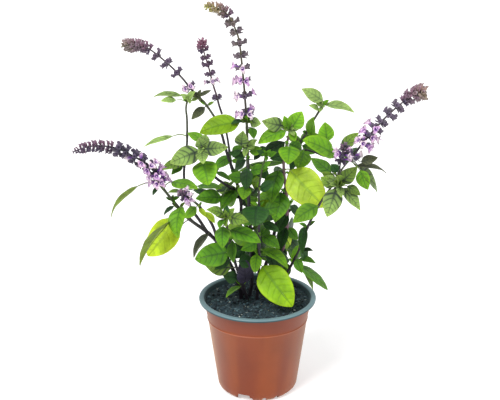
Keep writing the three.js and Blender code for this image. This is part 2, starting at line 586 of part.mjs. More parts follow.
function spike({ points, whorls, head, size = 1 }) {
  const route = points.map((p) => spot(...p));
  const stations = [];
  const bare = (distance, radius) => {
    const { at, ahead } = along(route, distance);
    stations.push(star(at, ahead, radius, radius, 0, 0));
  };
  bare(0, RACHIS_RADIUS);
  const blooms = [];
  whorls.forEach(([column, row, flowers], w) => {
    const distance = distanceTo(points, route, column, row);
    const { at, ahead } = along(route, distance);
    bare(distance - CALYX_WIDTH / 2, RACHIS_RADIUS);
    stations.push(star(at, ahead, size * CALYX_LENGTH, 1.2 * RACHIS_RADIUS, CALYX_LIFT, w % 2));
    bare(distance + CALYX_WIDTH / 2, RACHIS_RADIUS);
    const tips = star(at, ahead, size * CALYX_LENGTH, size * CALYX_LENGTH, CALYX_LIFT, w % 2);
    for (const tip of tips.filter((_, i) => i % 2 === w % 2).slice(0, flowers)) {
      const mouth = at.clone().lerp(tip, FLOWER_LENGTH / CALYX_LENGTH);
      blooms.push(bud(at.clone().lerp(tip, 0.5), mouth, size * FLOWER_WIDTH, 0.66, 4));
    }
  });
  const from = distanceTo(points, route, ...head.from);
  const whole = distanceTo(points, route, ...points.at(-1));
  const rings = Math.round((whole - from) / HEAD_STEP);
  for (let r = 0; r <= rings; r++) {
    const distance = from + ((whole - from) * r) / (rings + 1);
    const rounding = Math.min(1, Math.sqrt((1 - r / (rings + 1)) / HEAD_ROUND));
    const radius = rounding * THREE.MathUtils.lerp(head.radii[0], head.radii[1], r / rings);
    const { at, ahead } = along(route, distance);
    bare(distance - HEAD_STEP / 2, HEAD_NECK * radius);
    stations.push(star(at, ahead, radius, HEAD_VALLEYS * radius, radius / 2, r % 2));
  }
  stations.push([along(route, whole + 1).at]);
  return blooms.reduce((a, b) => a.add(b), loft(stations));
}

// ---------------------------------------------------------------- growing the plant

const FAR_SPACING = 27; // along the stem, between the far side's pairs
const FAR_SPREAD = 0.65; // radians to each side of straight back
const FAR_LENGTH = [44, 30]; // at the soil and at the top
const FAR_FLOOR = 135; // height above which they grow
const FAR_SWAY = 0.4; // radians, from one pair to the next
const FAR_INWARD = 0.009; // radians towards the plant's middle for each millimetre away from it
const FAR_PETIOLE = 0.2; // of the leaf's length
const FAR_DROOP = 0.3;
const FAR_WIDTH = 0.5;
const GOLDEN_ANGLE = 2.4;

const grown = [
  ...STEMS.map((stem) => ({ name: stem.name, stem, body: bareStem(stem) })),
  ...SPIKES.map((layout) => ({ name: layout.name, body: spike(layout) })),
];

function clearOfOthers(own, test) {
  return grown.every((other) => other === own || test.intersect(other.body).isEmpty());
}

const crowded = [];
for (const own of grown.filter(({ stem }) => stem)) {
  const paths = own.stem.paths.map(({ points }) => points);
  for (const row of own.stem.leaves) {
    const free = BENDS.filter((b) => clearOfOthers(own, seenLeaf(paths, row, b, FIT)));
    const blade = (b) => seenLeaf(paths, row, b, FIT, { bladeOnly: true });
    const bend = free.find((b) => blade(b).intersect(own.body).isEmpty()) ?? free[0];
    if (bend === undefined) crowded.push(own.name + " " + row);
    else own.body = own.body.add(seenLeaf(paths, row, bend, 0));
  }
}
if (crowded.length) throw new Error("no clear place for these leaves:\n" + crowded.join("\n"));

// Pairs of leaves on the far side of each stem, one pair at each joint, left out where they would touch a
// neighbour.
for (const own of grown.filter(({ stem }) => stem)) {
  const route = own.stem.paths[0].points.map((p) => spot(...p));
  const total = route.slice(1).reduce((sum, p, i) => sum + p.distanceTo(route[i]), 0);
  for (let step = 1; step * FAR_SPACING < total; step++) {
    const { at: root } = along(route, step * FAR_SPACING);
    if (root.z < FAR_FLOOR || root.z > own.stem.bushy) continue;
    const share = (root.z - FAR_FLOOR) / (own.stem.bushy - FAR_FLOOR);
    const length = THREE.MathUtils.lerp(...FAR_LENGTH, share);
    for (const half of [-1, 1]) {
      const sway = FAR_SWAY * Math.sin(GOLDEN_ANGLE * (step + own.stem.name.length));
      const turn = half * FAR_SPREAD + sway - FAR_INWARD * root.x;
      const way = new THREE.Vector3(Math.sin(turn), Math.cos(turn), 0);
      const base = root.clone().addScaledVector(way, FAR_PETIOLE * length);
      const tip = root.clone().addScaledVector(way, length);
      tip.z -= FAR_DROOP * length;
      const wide = (FAR_WIDTH * length) / pixelSize(base);
      if (clearOfOthers(own, leaf(root, base, tip, wide, FIT, { far: true }))) {
        own.body = own.body.add(leaf(root, base, tip, wide, 0, { far: true }));
      }
    }
  }
}

// ---------------------------------------------------------------- the scene

// A named mesh of a solid, drawn about its own place.
function piece(name, body, finish, place = new THREE.Vector3()) {
  const { vertProperties, triVerts } = body.getMesh();
  const geometry = new THREE.BufferGeometry();
  geometry.setAttribute("position", new THREE.BufferAttribute(new Float32Array(vertProperties), 3));
  geometry.setIndex(new THREE.BufferAttribute(new Uint32Array(triVerts), 1));
  geometry.translate(-place.x, -place.y, -place.z);
  geometry.computeVertexNormals();
  const mesh = new THREE.Mesh(geometry, new THREE.MeshStandardMaterial(finish));
  mesh.name = name;
  mesh.position.copy(place);
  return mesh;
}

// A leafy stem's colour is the mean of its leaves' tints.
function leafyFinish({ leaves }) {
  const mean = new THREE.Color(0, 0, 0);
  for (const row of leaves) mean.add(new THREE.Color(TINTS[row[6]]).multiplyScalar(1 / leaves.length));
  return { color: mean, roughness: LEAF_ROUGHNESS, metalness: 0 };
}

const group = new THREE.Group();
group.add(piece("pot", pot(), POT_FINISH));
group.add(piece("soil", soil(STEMS.map(stemHole)), SOIL_FINISH));
for (const { name, stem, body } of grown) {
  const layout = stem ? stem.paths[0] : SPIKES.find((s) => s.name === name);
  group.add(piece(name, body, stem ? leafyFinish(stem) : SPIKE_FINISH, spot(...layout.points[0])));
}

export default group;
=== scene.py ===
# %% [markdown]
# # A potted basil in flower
# This lesson dresses a plain solid model of a potted basil: a two-tone nursery pot, its soil, eight leafy
# stems and seven flower spikes. The solids are loaded first and never moved. Every piece made here stands
# where one of them stands, so the two always fit.

import math
import random

import bmesh
import bpy
import numpy as np
from mathutils import Matrix, Vector, kdtree, noise


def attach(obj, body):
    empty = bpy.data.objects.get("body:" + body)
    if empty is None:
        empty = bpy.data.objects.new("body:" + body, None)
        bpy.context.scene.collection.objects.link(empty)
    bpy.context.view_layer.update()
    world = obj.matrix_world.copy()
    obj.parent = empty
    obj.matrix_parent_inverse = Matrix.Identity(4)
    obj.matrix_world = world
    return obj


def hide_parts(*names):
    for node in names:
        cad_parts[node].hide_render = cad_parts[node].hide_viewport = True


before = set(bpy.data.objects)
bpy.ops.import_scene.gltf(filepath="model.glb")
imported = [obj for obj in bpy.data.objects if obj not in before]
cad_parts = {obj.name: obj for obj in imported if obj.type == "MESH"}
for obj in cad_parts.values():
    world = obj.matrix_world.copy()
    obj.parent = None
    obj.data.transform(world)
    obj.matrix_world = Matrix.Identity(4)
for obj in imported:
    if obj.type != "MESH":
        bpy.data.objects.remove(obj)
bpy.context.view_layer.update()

# %% [markdown]
# ## The measuring view
# A plant has no straight edges to measure from. Its stems and leaves are laid out as they are seen from one
# eye in front of the pot, which looks a little down. A spot is a column and a row of a 500 x 400 picture and
# how many millimetres it lies in front of the pot's axis. The camera stands at the same eye.

# %% The eye, and the place of a spot
MM = 0.001
EYE = Vector((0, -0.9, 0.513))
EYE_PITCH = math.radians(18)
EYE_SCALE = 881.3  # pixels for each unit of slope
PICTURE_SIZE = (500, 400)
PICTURE_CENTRE = (257.5, 200)


def spot(column, row, depth):
    ahead = -EYE.y - depth * MM
    slope = math.atan((PICTURE_CENTRE[1] - row) / EYE_SCALE) - EYE_PITCH
    z = EYE.z + ahead * math.tan(slope)
    along = ahead * math.cos(EYE_PITCH) - (z - EYE.z) * math.sin(EYE_PITCH)
    return Vector(((column - PICTURE_CENTRE[0]) * along / EYE_SCALE, -depth * MM, z))


def pixel_size(place):
    """Metres for each pixel at a place."""
    away = place - EYE
    return (away.y * math.cos(EYE_PITCH) - away.z * math.sin(EYE_PITCH)) / EYE_SCALE


# %% The camera
SENSOR = 36  # millimetres, the width of the picture
VIEW_REACH = 50  # metres
lens = bpy.data.cameras.new("camera")
lens.lens = EYE_SCALE / PICTURE_SIZE[0] * SENSOR
lens.sensor_width = SENSOR
lens.shift_x = 0.5 - PICTURE_CENTRE[0] / PICTURE_SIZE[0]
lens.clip_end = VIEW_REACH
camera = bpy.data.objects.new("camera", lens)
camera.location = EYE
camera.rotation_euler = (math.pi / 2 - EYE_PITCH, 0, 0)
bpy.context.collection.objects.link(camera)
bpy.context.scene.camera = camera
print("camera lens:", round(lens.lens, 1), "mm")

# %% [markdown]
# ## Light and floor
# The plant stands in a bright white studio, on a table that is lit from below, so shadows are soft and pale.
# One stronger soft light from the upper left gives the leaves and the pot their roundness, and a weak one
# from the right keeps their dark sides clear.

# %% Studio light
WHITE = (1, 1, 1, 1)
STUDIO_BRIGHTNESS = 0.62
bpy.context.scene.view_settings.view_transform = "Standard"
world = bpy.context.scene.world or bpy.data.worlds.new("studio")
bpy.context.scene.world = world
world.use_nodes = True
sky = world.node_tree.nodes["Background"].inputs
sky["Color"].default_value = WHITE
sky["Strength"].default_value = STUDIO_BRIGHTNESS


def soft_sun(name, strength, wide, elevation, azimuth):
    """A far light, in degrees: how wide it is, how high it stands and how far to the right of the eye."""
    light = bpy.data.lights.new(name, "SUN")
    light.energy = strength
    light.angle = math.radians(wide)
    lamp = bpy.data.objects.new(name, light)
    lamp.rotation_euler = (math.radians(90 - elevation), 0, math.radians(azimuth))
    bpy.context.collection.objects.link(lamp)


soft_sun("key_light", strength=2.3, wide=24, elevation=52, azimuth=-38)
soft_sun("fill_light", strength=0.6, wide=60, elevation=30, azimuth=45)

# %% The floor
FLOOR_SIZE = 40
FLOOR_PAINT = {"Base Color": (0.8, 0.8, 0.8, 1), "Roughness": 0.9, "Emission Color": WHITE,
               "Emission Strength": 0.42}
bpy.ops.object.select_all(action="DESELECT")
bpy.ops.mesh.primitive_plane_add(size=FLOOR_SIZE)
floor = bpy.context.object
floor.name = "floor"
floor_paint = bpy.data.materials.new("floor_paint")
floor_paint.use_nodes = True
for name, value in FLOOR_PAINT.items():
    floor_paint.node_tree.nodes["Principled BSDF"].inputs[name].default_value = value
floor.data.materials.append(floor_paint)

# %% [markdown]
# ## Effects that several finishes share
# A living surface is never one flat colour. Three effects come back in most finishes here, so each is a node
# group that is built once: a mottle that makes a colour lighter and darker in soft patches, a grain that
# roughens a surface in small bumps, and the veins of a leaf, drawn in the leaf's own flat layout.

# %% Helpers for nodes
def add(tree, kind, inputs=(), **settings):
    """A node; an input is linked where its value comes from another node, and set where it is plain."""
    made = tree.nodes.new(kind)
    for name, value in settings.items():
        setattr(made, name, value)
    for name, value in dict(inputs).items():
        if isinstance(value, bpy.types.NodeSocket):
            tree.links.new(value, made.inputs[name])
        else:
            made.inputs[name].default_value = value
    return made


def own_place(tree):
    """A point's place in its object, which is also its place in the plant."""
    return add(tree, "ShaderNodeTexCoord").outputs["Object"]


def maths(tree, operation, a, b=0.0):
    return add(tree, "ShaderNodeMath", {0: a, 1: b}, operation=operation).outputs[0]


def times(tree, a, b):
    return maths(tree, "MULTIPLY", a, b)


def spread(tree, value, start, end, low=0.0, high=1.0):
    """A smooth step of a value, from low at start to high at end."""
    node = add(tree, "ShaderNodeMapRange", {"Value": value, "From Min": start, "From Max": end,
                                            "To Min": low, "To Max": high},
               interpolation_type="SMOOTHSTEP")
    return node.outputs["Result"]


def blend(tree, share, a, b):
    return add(tree, "ShaderNodeMix", {0: share, 6: a, 7: b}, data_type="RGBA").outputs[2]


def new_group(name, inputs, outputs):
    """A node group with number inputs, given with their defaults, and outputs, given with their kind."""
    group = bpy.data.node_groups.new(name, "ShaderNodeTree")
    for socket, default in inputs.items():
        made = group.interface.new_socket(socket, in_out="INPUT", socket_type="NodeSocketFloat")
        made.default_value = default
    for socket, kind in outputs.items():
        group.interface.new_socket(socket, in_out="OUTPUT", socket_type="NodeSocket" + kind)
    return group, group.nodes.new("NodeGroupInput").outputs, group.nodes.new("NodeGroupOutput").inputs


# %% The mottle
PATCH_EDGES = (0.3, 0.7)  # the noise's values where a patch is darkest and lightest
mottle, given, result = new_group("mottle", {"Scale": 60, "Low": 0.8, "High": 1.2}, {"Shade": "Float"})
patches = add(mottle, "ShaderNodeTexNoise", {"Vector": own_place(mottle), "Scale": given["Scale"],
                                             "Detail": 3})
mottle.links.new(spread(mottle, patches.outputs["Fac"], *PATCH_EDGES, given["Low"], given["High"]),
                 result["Shade"])

# %% The grain
GRAIN_HEIGHT = 0.3 * MM
grain, given, result = new_group("grain", {"Scale": 900, "Depth": 0.2}, {"Normal": "Vector"})
specks = add(grain, "ShaderNodeTexNoise", {"Vector": own_place(grain), "Scale": given["Scale"], "Detail": 2})
bump = add(grain, "ShaderNodeBump", {"Height": specks.outputs["Fac"], "Strength": given["Depth"],
                                     "Distance": GRAIN_HEIGHT})
grain.links.new(bump.outputs["Normal"], result["Normal"])

# %% The leaf's veins
# Across the layout the rib lies in the middle; along it the side veins are evenly spaced lines, because the
# blade's mesh is itself drawn forward along them. A fade is where a line starts to show and where it is full.
VEIN_PAIRS = 6
RIB_FADE, VEIN_FADE, NET_FADE = (0.14, 0.03), (0.11, 0.02), (0.12, 0.02)
EDGE_FADE = (1.05, 0.5)  # a side vein gets fainter towards the edge
BESIDE_RIB, BESIDE_VEIN = (0.3, 0.05), (0.34, 0.06)  # wider bands, which a dark flush fills first
PAD_EDGE, PAD_HEIGHT, VEIN_DEPTH = 0.4, 0.35, 0.8  # the net's fields are puffed up, the veins sunk
VEIN_OUTPUTS = ("Rib", "Veins", "Net", "Height", "Along", "Across", "Beside")
veins, given, result = new_group("leaf_veins", {"Net": 26}, dict.fromkeys(VEIN_OUTPUTS, "Float"))
layout = add(veins, "ShaderNodeUVMap", uv_map="UVMap").outputs["UV"]
parts = add(veins, "ShaderNodeSeparateXYZ", {"Vector": layout}).outputs
across = times(veins, maths(veins, "ABSOLUTE", maths(veins, "SUBTRACT", parts["X"], 0.5)), 2)
rib = spread(veins, across, *RIB_FADE)
turns = maths(veins, "ADD", times(veins, parts["Y"], VEIN_PAIRS), 0.5)
from_vein = maths(veins, "ABSOLUTE", maths(veins, "SUBTRACT", maths(veins, "FRACT", turns), 0.5))
side = times(veins, spread(veins, from_vein, *VEIN_FADE), spread(veins, across, *EDGE_FADE))
cells = add(veins, "ShaderNodeTexVoronoi", {"Vector": layout, "Scale": given["Net"]},
            feature="DISTANCE_TO_EDGE").outputs["Distance"]
net = spread(veins, cells, *NET_FADE)
pads = times(veins, spread(veins, cells, 0, PAD_EDGE), PAD_HEIGHT)
puffed = maths(veins, "SUBTRACT", pads, times(veins, maths(veins, "MAXIMUM", rib, side), VEIN_DEPTH))
beside = maths(veins, "MAXIMUM", spread(veins, from_vein, *BESIDE_VEIN), spread(veins, across, *BESIDE_RIB))
for name, value in zip(VEIN_OUTPUTS, (rib, side, net, puffed, parts["Y"], across, beside)):
    veins.links.new(value, result[name])
print("node groups:", [g.name for g in (mottle, grain, veins)])

# %% Helpers for finishes
def paint(red, green, blue):
    """A colour as it is read off a screen, 0 to 255, as the shader's own linear colour."""
    def linear(value):
        share = value / 255
        return share / 12.92 if share <= 0.04045 else ((share + 0.055) / 1.055) ** 2.4
    return (linear(red), linear(green), linear(blue), 1)


def new_finish(name):
    finish = bpy.data.materials.new(name)
    finish.use_nodes = True
    return finish, finish.node_tree, finish.node_tree.nodes["Principled BSDF"]


def use(tree, group, **inputs):
    node = add(tree, "ShaderNodeGroup", node_tree=group)
    for name, value in inputs.items():
        node.inputs[name].default_value = value
    return node.outputs


def shaded(tree, colour, shade):
    """A colour made lighter or darker by a shade near 1."""
    return add(tree, "ShaderNodeHueSaturation", {"Color": colour, "Value": shade}).outputs["Color"]


def painted_mark(tree, name):
    return add(tree, "ShaderNodeAttribute", attribute_name=name).outputs


def coat(tree, shader, colour, normal, values):
    """Feeds the shader its colour and its bumps, and sets the values that are the same all over."""
    tree.links.new(colour, shader.inputs["Base Color"])
    tree.links.new(normal, shader.inputs["Normal"])
    for name, value in values.items():
        shader.inputs[name].default_value = value


def tinted(name, roughness, mottling, graining):
    """A finish in its mesh's own marked tint. Mottling is scale, low and high; graining scale and depth."""
    finish, tree, shader = new_finish(name)
    scale, low, high = mottling
    shade = use(tree, mottle, Scale=scale, Low=low, High=high)["Shade"]
    tone = shaded(tree, painted_mark(tree, "tint")["Color"], shade)
    scale, depth = graining
    coat(tree, shader, tone, use(tree, grain, Scale=scale, Depth=depth)["Normal"], {"Roughness": roughness})
    return finish, tree, shader, tone


# %% [markdown]
# ## Finishes of the pot
# The pot is pressed from a two-layer plastic sheet: terracotta outside, grey-green inside and over the lip.
# Both are satin with a faint grain, and faint upright streaks of a lighter and a darker tone run round them.
# A thin pale line along the ridge is a painted highlight, and the lining is painted darker inside the pot
# than on the lip, as painted shade.

# %% Upright streaks
STREAK_TURN = math.radians(38)  # about the pot's axis
STREAK_SQUEEZE = (1, 1, 0.06)  # flattens the noise's rise, which draws it out upright
STREAK_EDGES = (0.36, 0.64)
streaks, given, result = new_group("upright_streaks", {"Scale": 40}, {"Streak": "Float"})
turned_place = add(streaks, "ShaderNodeVectorRotate", {"Vector": own_place(streaks), "Angle": STREAK_TURN},
                   rotation_type="Z_AXIS").outputs[0]
upright = add(streaks, "ShaderNodeVectorMath", {0: turned_place, 1: STREAK_SQUEEZE}, operation="MULTIPLY")
lines = add(streaks, "ShaderNodeTexNoise", {"Vector": upright.outputs[0], "Scale": given["Scale"],
                                            "Detail": 2})
streaks.links.new(spread(streaks, lines.outputs["Fac"], *STREAK_EDGES), result["Streak"])

# %% Terracotta outside and grey-green lining
RIDGE_HEIGHT = 0.085
RIDGE_FADE = (0.0011, 0.0002)  # metres from the ridge, where its pale line starts and where it is full
RIDGE_HIGHLIGHT = 0.45
SATIN = {"Roughness": 0.45, "Specular IOR Level": 0.35, "Sheen Weight": 0.32, "Sheen Roughness": 0.35}


def plastic(name, low, high, upper, heights, pale, glance):
    """Streaked from a low to a high tone, and another tone upwards of two heights; glance tints the sheen."""
    finish, tree, shader = new_finish(name)
    height = add(tree, "ShaderNodeSeparateXYZ", {"Vector": own_place(tree)}).outputs["Z"]
    tone = blend(tree, use(tree, streaks, Scale=38)["Streak"], low, high)
    tone = blend(tree, spread(tree, height, *heights), tone, upper)
    # A pale line along the ridge is a painted highlight.
    on_ridge = maths(tree, "ABSOLUTE", maths(tree, "SUBTRACT", height, RIDGE_HEIGHT))
    tone = blend(tree, spread(tree, on_ridge, *RIDGE_FADE, 0, RIDGE_HIGHLIGHT), tone, pale)
    tone = shaded(tree, tone, use(tree, mottle, Scale=24, Low=0.93, High=1.07)["Shade"])
    normal = use(tree, grain, Scale=1500, Depth=0.12)["Normal"]
    coat(tree, shader, tone, normal, {**SATIN, "Sheen Tint": glance})
    return finish


terracotta = plastic("pot_terracotta", low=paint(118, 47, 14), high=paint(129, 57, 14),
                     upper=paint(118, 52, 28), heights=(0.086, 0.09), pale=paint(172, 100, 70),
                     glance=(1, 0.72, 0.44, 1))
# Inside the pot the lining's low and high tones are painted darker than its lip, as painted shade in the
# hollow.
lining = plastic("pot_lining_green_with_painted_shade", low=paint(34, 56, 62), high=paint(42, 66, 70),
                 upper=paint(106, 134, 140), heights=(0.1072, 0.1088), pale=paint(42, 66, 70),
                 glance=(0.75, 0.95, 1, 1))

# %% [markdown]
# ## Finishes of the soil
# Potting soil is near black and damp, with paler crumbs and small flecks of perlite and straw. The crumbs are
# real geometry; each carries its own colour as a mark on its mesh.

# %% Soil and flecks
soil_finish = tinted("damp_soil", roughness=0.85, mottling=(420, 0.5, 1.7), graining=(1200, 0.9))[0]
perlite_finish = tinted("perlite_fleck", roughness=0.9, mottling=(420, 0.85, 1.1), graining=(1200, 0.9))[0]

# %% [markdown]
# ## Finishes of the leaves
# A basil leaf is greener where it is old and yellower where it is young, has sunken veins, and often a dark
# flush at its base. Its back is duller and paler, with the veins standing out. Every leaf carries three
# colours as marks on its mesh, for the blade, its veins and its back, so one finish serves all of them. The
# fourth value of the blade's and the back's mark says how strong the flush is.

# %% Leaf faces and leaf backs
SUNLIT = {"Hue": 0.48, "Value": 1.35}  # yellower and lighter
EDGE_START, EDGE_LIGHT = 0.62, 0.6  # where the sunlit edge starts, and how sunlit it is
TIP_START, TIP_LIGHT = 0.6, 0.55
FLUSH_FADE = (0.66, 0.04)  # shares of the length where the flush starts to show and where it is full
FLUSH_EVEN, FLUSH_BESIDE = 0.34, 0.6  # how much of it lies all over, and how much along the veins
NET_SHARE = 0.1
FLUSHED_VEIN = 0.4  # how much more a flushed leaf's side veins show
LEAF_SHINE = 0.25


def leaf_finish(name, ground, vein_share, rib_share, height, roughness):
    """A leaf's face or back. The shares say how strongly its side veins and its rib show."""
    finish, tree, shader = new_finish(name)
    drawn = use(tree, veins)
    own = painted_mark(tree, ground)
    vein = painted_mark(tree, "vein_tint")["Color"]
    sunlit = add(tree, "ShaderNodeHueSaturation", {"Color": own["Color"], **SUNLIT}).outputs["Color"]
    edge = times(tree, spread(tree, drawn["Across"], EDGE_START, 1.0), EDGE_LIGHT)
    tone = blend(tree, edge, own["Color"], sunlit)
    tone = blend(tree, spread(tree, drawn["Along"], TIP_START, 1.0, 0, TIP_LIGHT), tone, sunlit)
    flush = times(tree, own["Alpha"], spread(tree, drawn["Along"], *FLUSH_FADE))
    streak = maths(tree, "ADD", times(tree, drawn["Beside"], FLUSH_BESIDE), FLUSH_EVEN)
    line = maths(tree, "ADD", times(tree, own["Alpha"], FLUSHED_VEIN), vein_share)
    for share in (times(tree, flush, streak), times(tree, drawn["Net"], NET_SHARE),
                  times(tree, drawn["Veins"], line), times(tree, drawn["Rib"], rib_share)):
        tone = blend(tree, share, tone, vein)
    tone = shaded(tree, tone, use(tree, mottle, Scale=90, Low=0.78, High=1.16)["Shade"])
    bump = add(tree, "ShaderNodeBump", {"Height": drawn["Height"], "Strength": 0.6, "Distance": height})
    coat(tree, shader, tone, bump.outputs["Normal"],
         {"Roughness": roughness, "Specular IOR Level": LEAF_SHINE})
    return finish


leaf_face = leaf_finish("leaf_face", "blade_tint", vein_share=0.2, rib_share=0.46, height=0.9 * MM,
                        roughness=0.42)
leaf_back = leaf_finish("leaf_back", "back_tint", vein_share=0.2, rib_share=0.5, height=-0.8 * MM,
                        roughness=0.6)

# %% [markdown]
# ## Finishes of stems and flowers
# Stems are dark purple, and turn a little greener where they are young. Calyces are dark with mauve lips, the
# open flowers lilac with a violet throat. The marks on the meshes hold each part's own colour and how near a
# point is to the lip or the edge of its petal.

# %% Stem, calyx and petal
LIP_SHARE = 0.24  # how mauve a calyx gets at its lip
THROAT_FADE = (0.2, 0.75)
MAUVE, VIOLET = paint(156, 124, 158), paint(122, 46, 168)
stem_bark = tinted("stem_bark", roughness=0.5, mottling=(260, 0.75, 1.25), graining=(1400, 0.3))[0]
calyx_finish, tree, shader, tone = tinted("calyx_skin", 0.6, (260, 0.8, 1.2), (1400, 0.4))
mauve = blend(tree, times(tree, painted_mark(tree, "lip")["Fac"], LIP_SHARE), tone, MAUVE)
tree.links.new(mauve, shader.inputs["Base Color"])
shader.inputs["Sheen Weight"].default_value = 0.2

petal_finish, tree, shader, tone = tinted("petal_skin", 0.55, (260, 0.93, 1.07), (1400, 0.15))
deep = blend(tree, spread(tree, painted_mark(tree, "lip")["Fac"], *THROAT_FADE), VIOLET, tone)
tree.links.new(deep, shader.inputs["Base Color"])
shader.inputs["Sheen Weight"].default_value = 0.25
print("finishes:", [m.name for m in bpy.data.materials if m.use_nodes])

# %% [markdown]
# ## Helpers for modelling
# Round things are drawn up ring by ring from a circle, by extruding the loop and resizing it, as on a
# potter's wheel. What repeats is modelled once as a pattern and copied, and each copy has a mesh of its own
# whose corners are moved to their place.

# %% Draw up a round solid
def select_none():
    bpy.ops.object.select_all(action="DESELECT")


def make_active(piece):
    select_none()
    piece.select_set(True)
    bpy.context.view_layer.objects.active = piece


def edit_all():
    """Into edit mode, with everything selected."""
    bpy.ops.object.mode_set(mode="EDIT")
    bpy.ops.mesh.select_all(action="SELECT")


def edit_done():
    bpy.ops.object.mode_set(mode="OBJECT")


def turned(name, profile, sides, turn=0.0):
    """A closed round solid through rings of radius and height; both end rings are filled."""
    select_none()
    bpy.ops.mesh.primitive_circle_add(vertices=sides, radius=profile[0][0], location=(0, 0, profile[0][1]),
                                      rotation=(0, 0, turn))
    bpy.ops.object.transform_apply(location=True, rotation=True, scale=True)
    piece = bpy.context.object
    piece.name = name
    edit_all()
    for (before, low), (after, high) in zip(profile, profile[1:]):
        bpy.ops.mesh.extrude_region_move(TRANSFORM_OT_translate={"value": (0, 0, high - low)})
        grow = after / before
        bpy.ops.transform.resize(value=(grow, grow, 1), center_override=(0, 0, high))
    bpy.ops.mesh.edge_face_add()
    bpy.ops.mesh.select_all(action="DESELECT")
    bpy.ops.mesh.select_non_manifold()
    bpy.ops.mesh.edge_face_add()
    bpy.ops.mesh.select_all(action="SELECT")
    bpy.ops.mesh.normals_make_consistent(inside=False)
    edit_done()
    return piece


# %% Draw a flat grid, and select part of a mesh
def flat_grid(name, columns, rows):
    """A grid one unit wide and one long, that runs along +Y from the origin."""
    select_none()
    bpy.ops.mesh.primitive_grid_add(x_subdivisions=columns, y_subdivisions=rows, size=1,
                                    location=(0, 0.5, 0))
    bpy.ops.object.transform_apply(location=True, rotation=True, scale=True)
    bpy.context.object.name = name
    return bpy.context.object


def select_where(piece, test):
    """In edit mode, selects the corners that pass a test."""
    mesh = bmesh.from_edit_mesh(piece.data)
    for corner in mesh.verts:
        corner.select = test(corner)
    mesh.select_flush(True)
    mesh.select_flush(False)
    bmesh.update_edit_mesh(piece.data)


# %% Copy a pattern, paint marks, join and finish
def corners_of(piece):
    flat = np.empty(3 * len(piece.data.vertices))
    piece.data.vertices.foreach_get("co", flat)
    return flat.reshape(-1, 3)


def mark(piece, name, values):
    """Paints a colour on every corner, or a number on each."""
    values = np.asarray(values, float)
    count = len(piece.data.vertices)
    if values.shape == (4,) or values.ndim == 2:
        attribute = piece.data.attributes.new(name, "FLOAT_COLOR", "POINT")
        attribute.data.foreach_set("color", np.broadcast_to(values, (count, 4)).ravel())
    else:
        attribute = piece.data.attributes.new(name, "FLOAT", "POINT")
        attribute.data.foreach_set("value", np.broadcast_to(values, count).copy())


def copy_to(pattern, corners, **marks):
    piece = pattern.copy()
    piece.data = pattern.data.copy()
    piece.data.vertices.foreach_set("co", np.asarray(corners, float).ravel())
    for name, values in marks.items():
        mark(piece, name, values)
    bpy.context.collection.objects.link(piece)
    return piece


def joined(name, parts):
    select_none()
    for part in parts:
        part.select_set(True)
    bpy.context.view_layer.objects.active = parts[0]
    if len(parts) > 1:
        bpy.ops.object.join()
    piece = bpy.context.object
    piece.name = piece.data.name = name
    return piece


def smooth(piece, angle=None):
    """Soft shading all over, or but for edges sharper than an angle in degrees."""
    make_active(piece)
    if angle is None:
        bpy.ops.object.shade_smooth()
    else:
        bpy.ops.object.shade_smooth_by_angle(angle=math.radians(angle))


def apply_modifier(piece, kind, **settings):
    make_active(piece)
    modifier = piece.modifiers.new(kind.lower(), kind)
    for name, value in settings.items():
        setattr(modifier, name, value)
    bpy.ops.object.modifier_apply(modifier=modifier.name)


def finished(piece, slot, nodes, *finishes):
    """Gives a piece its finishes, its place in the object and the solids that it stands for."""
    own = [polygon.material_index for polygon in piece.data.polygons]
    piece.data.materials.clear()
    for finish in finishes:
        piece.data.materials.append(finish)
    piece.data.polygons.foreach_set("material_index", own)
    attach(piece, "root")
    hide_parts(*nodes)
    print(f"{piece.name}: {len(piece.data.polygons)} faces")


# %% [markdown]
# ## The pot
# A thermoformed pot is one thin sheet of two layers. The outer layer is drawn from the hub in the middle of
# its raised bottom down the inside of the foot, round the ring that it rests on, and up the slanted wall with
# its raised ridge to the neck. The lining goes up the inside, over the flat lip and down its edge. Two shells
# that lie against each other keep each colour crisp.

# %% Sizes of the pot
POT_HEIGHT = 0.1095
RIM_RADIUS = 0.065
LIP_HEIGHT = 0.003
NECK_RADIUS = 0.0603
RIDGE_RADIUS = 0.0564
RIDGE_RISE = 0.0009
FOOT_RADIUS = 0.0448
FOOT_HEIGHT = 0.005
PAD_RADIUS = 0.04
WALL = 0.0014
LAYER = 0.0008  # the outer layer's share of the wall
RECESS = 0.0096  # how far the bottom is raised inside its foot
HUB_RADIUS = 0.012  # of the flat disc in the bottom's middle, level with the foot
HUB_SPREAD = 0.003  # how much wider the hub is at the raised bottom
POT_SIDES = 96
LOBE_COUNT = 18
LOBES_PER_ARCH = 6
FIRST_ARCH = -1  # which lobe, counted from the front, is cut back first
NOTCH_SIZE = (0.0046, 0.0052)  # width and height
ARCH_SIZE = (0.014, 0.0084)
NOTCH_START = 0.036
NOTCH_REACH = 0.012
OPENING_ROUND = 0.0013

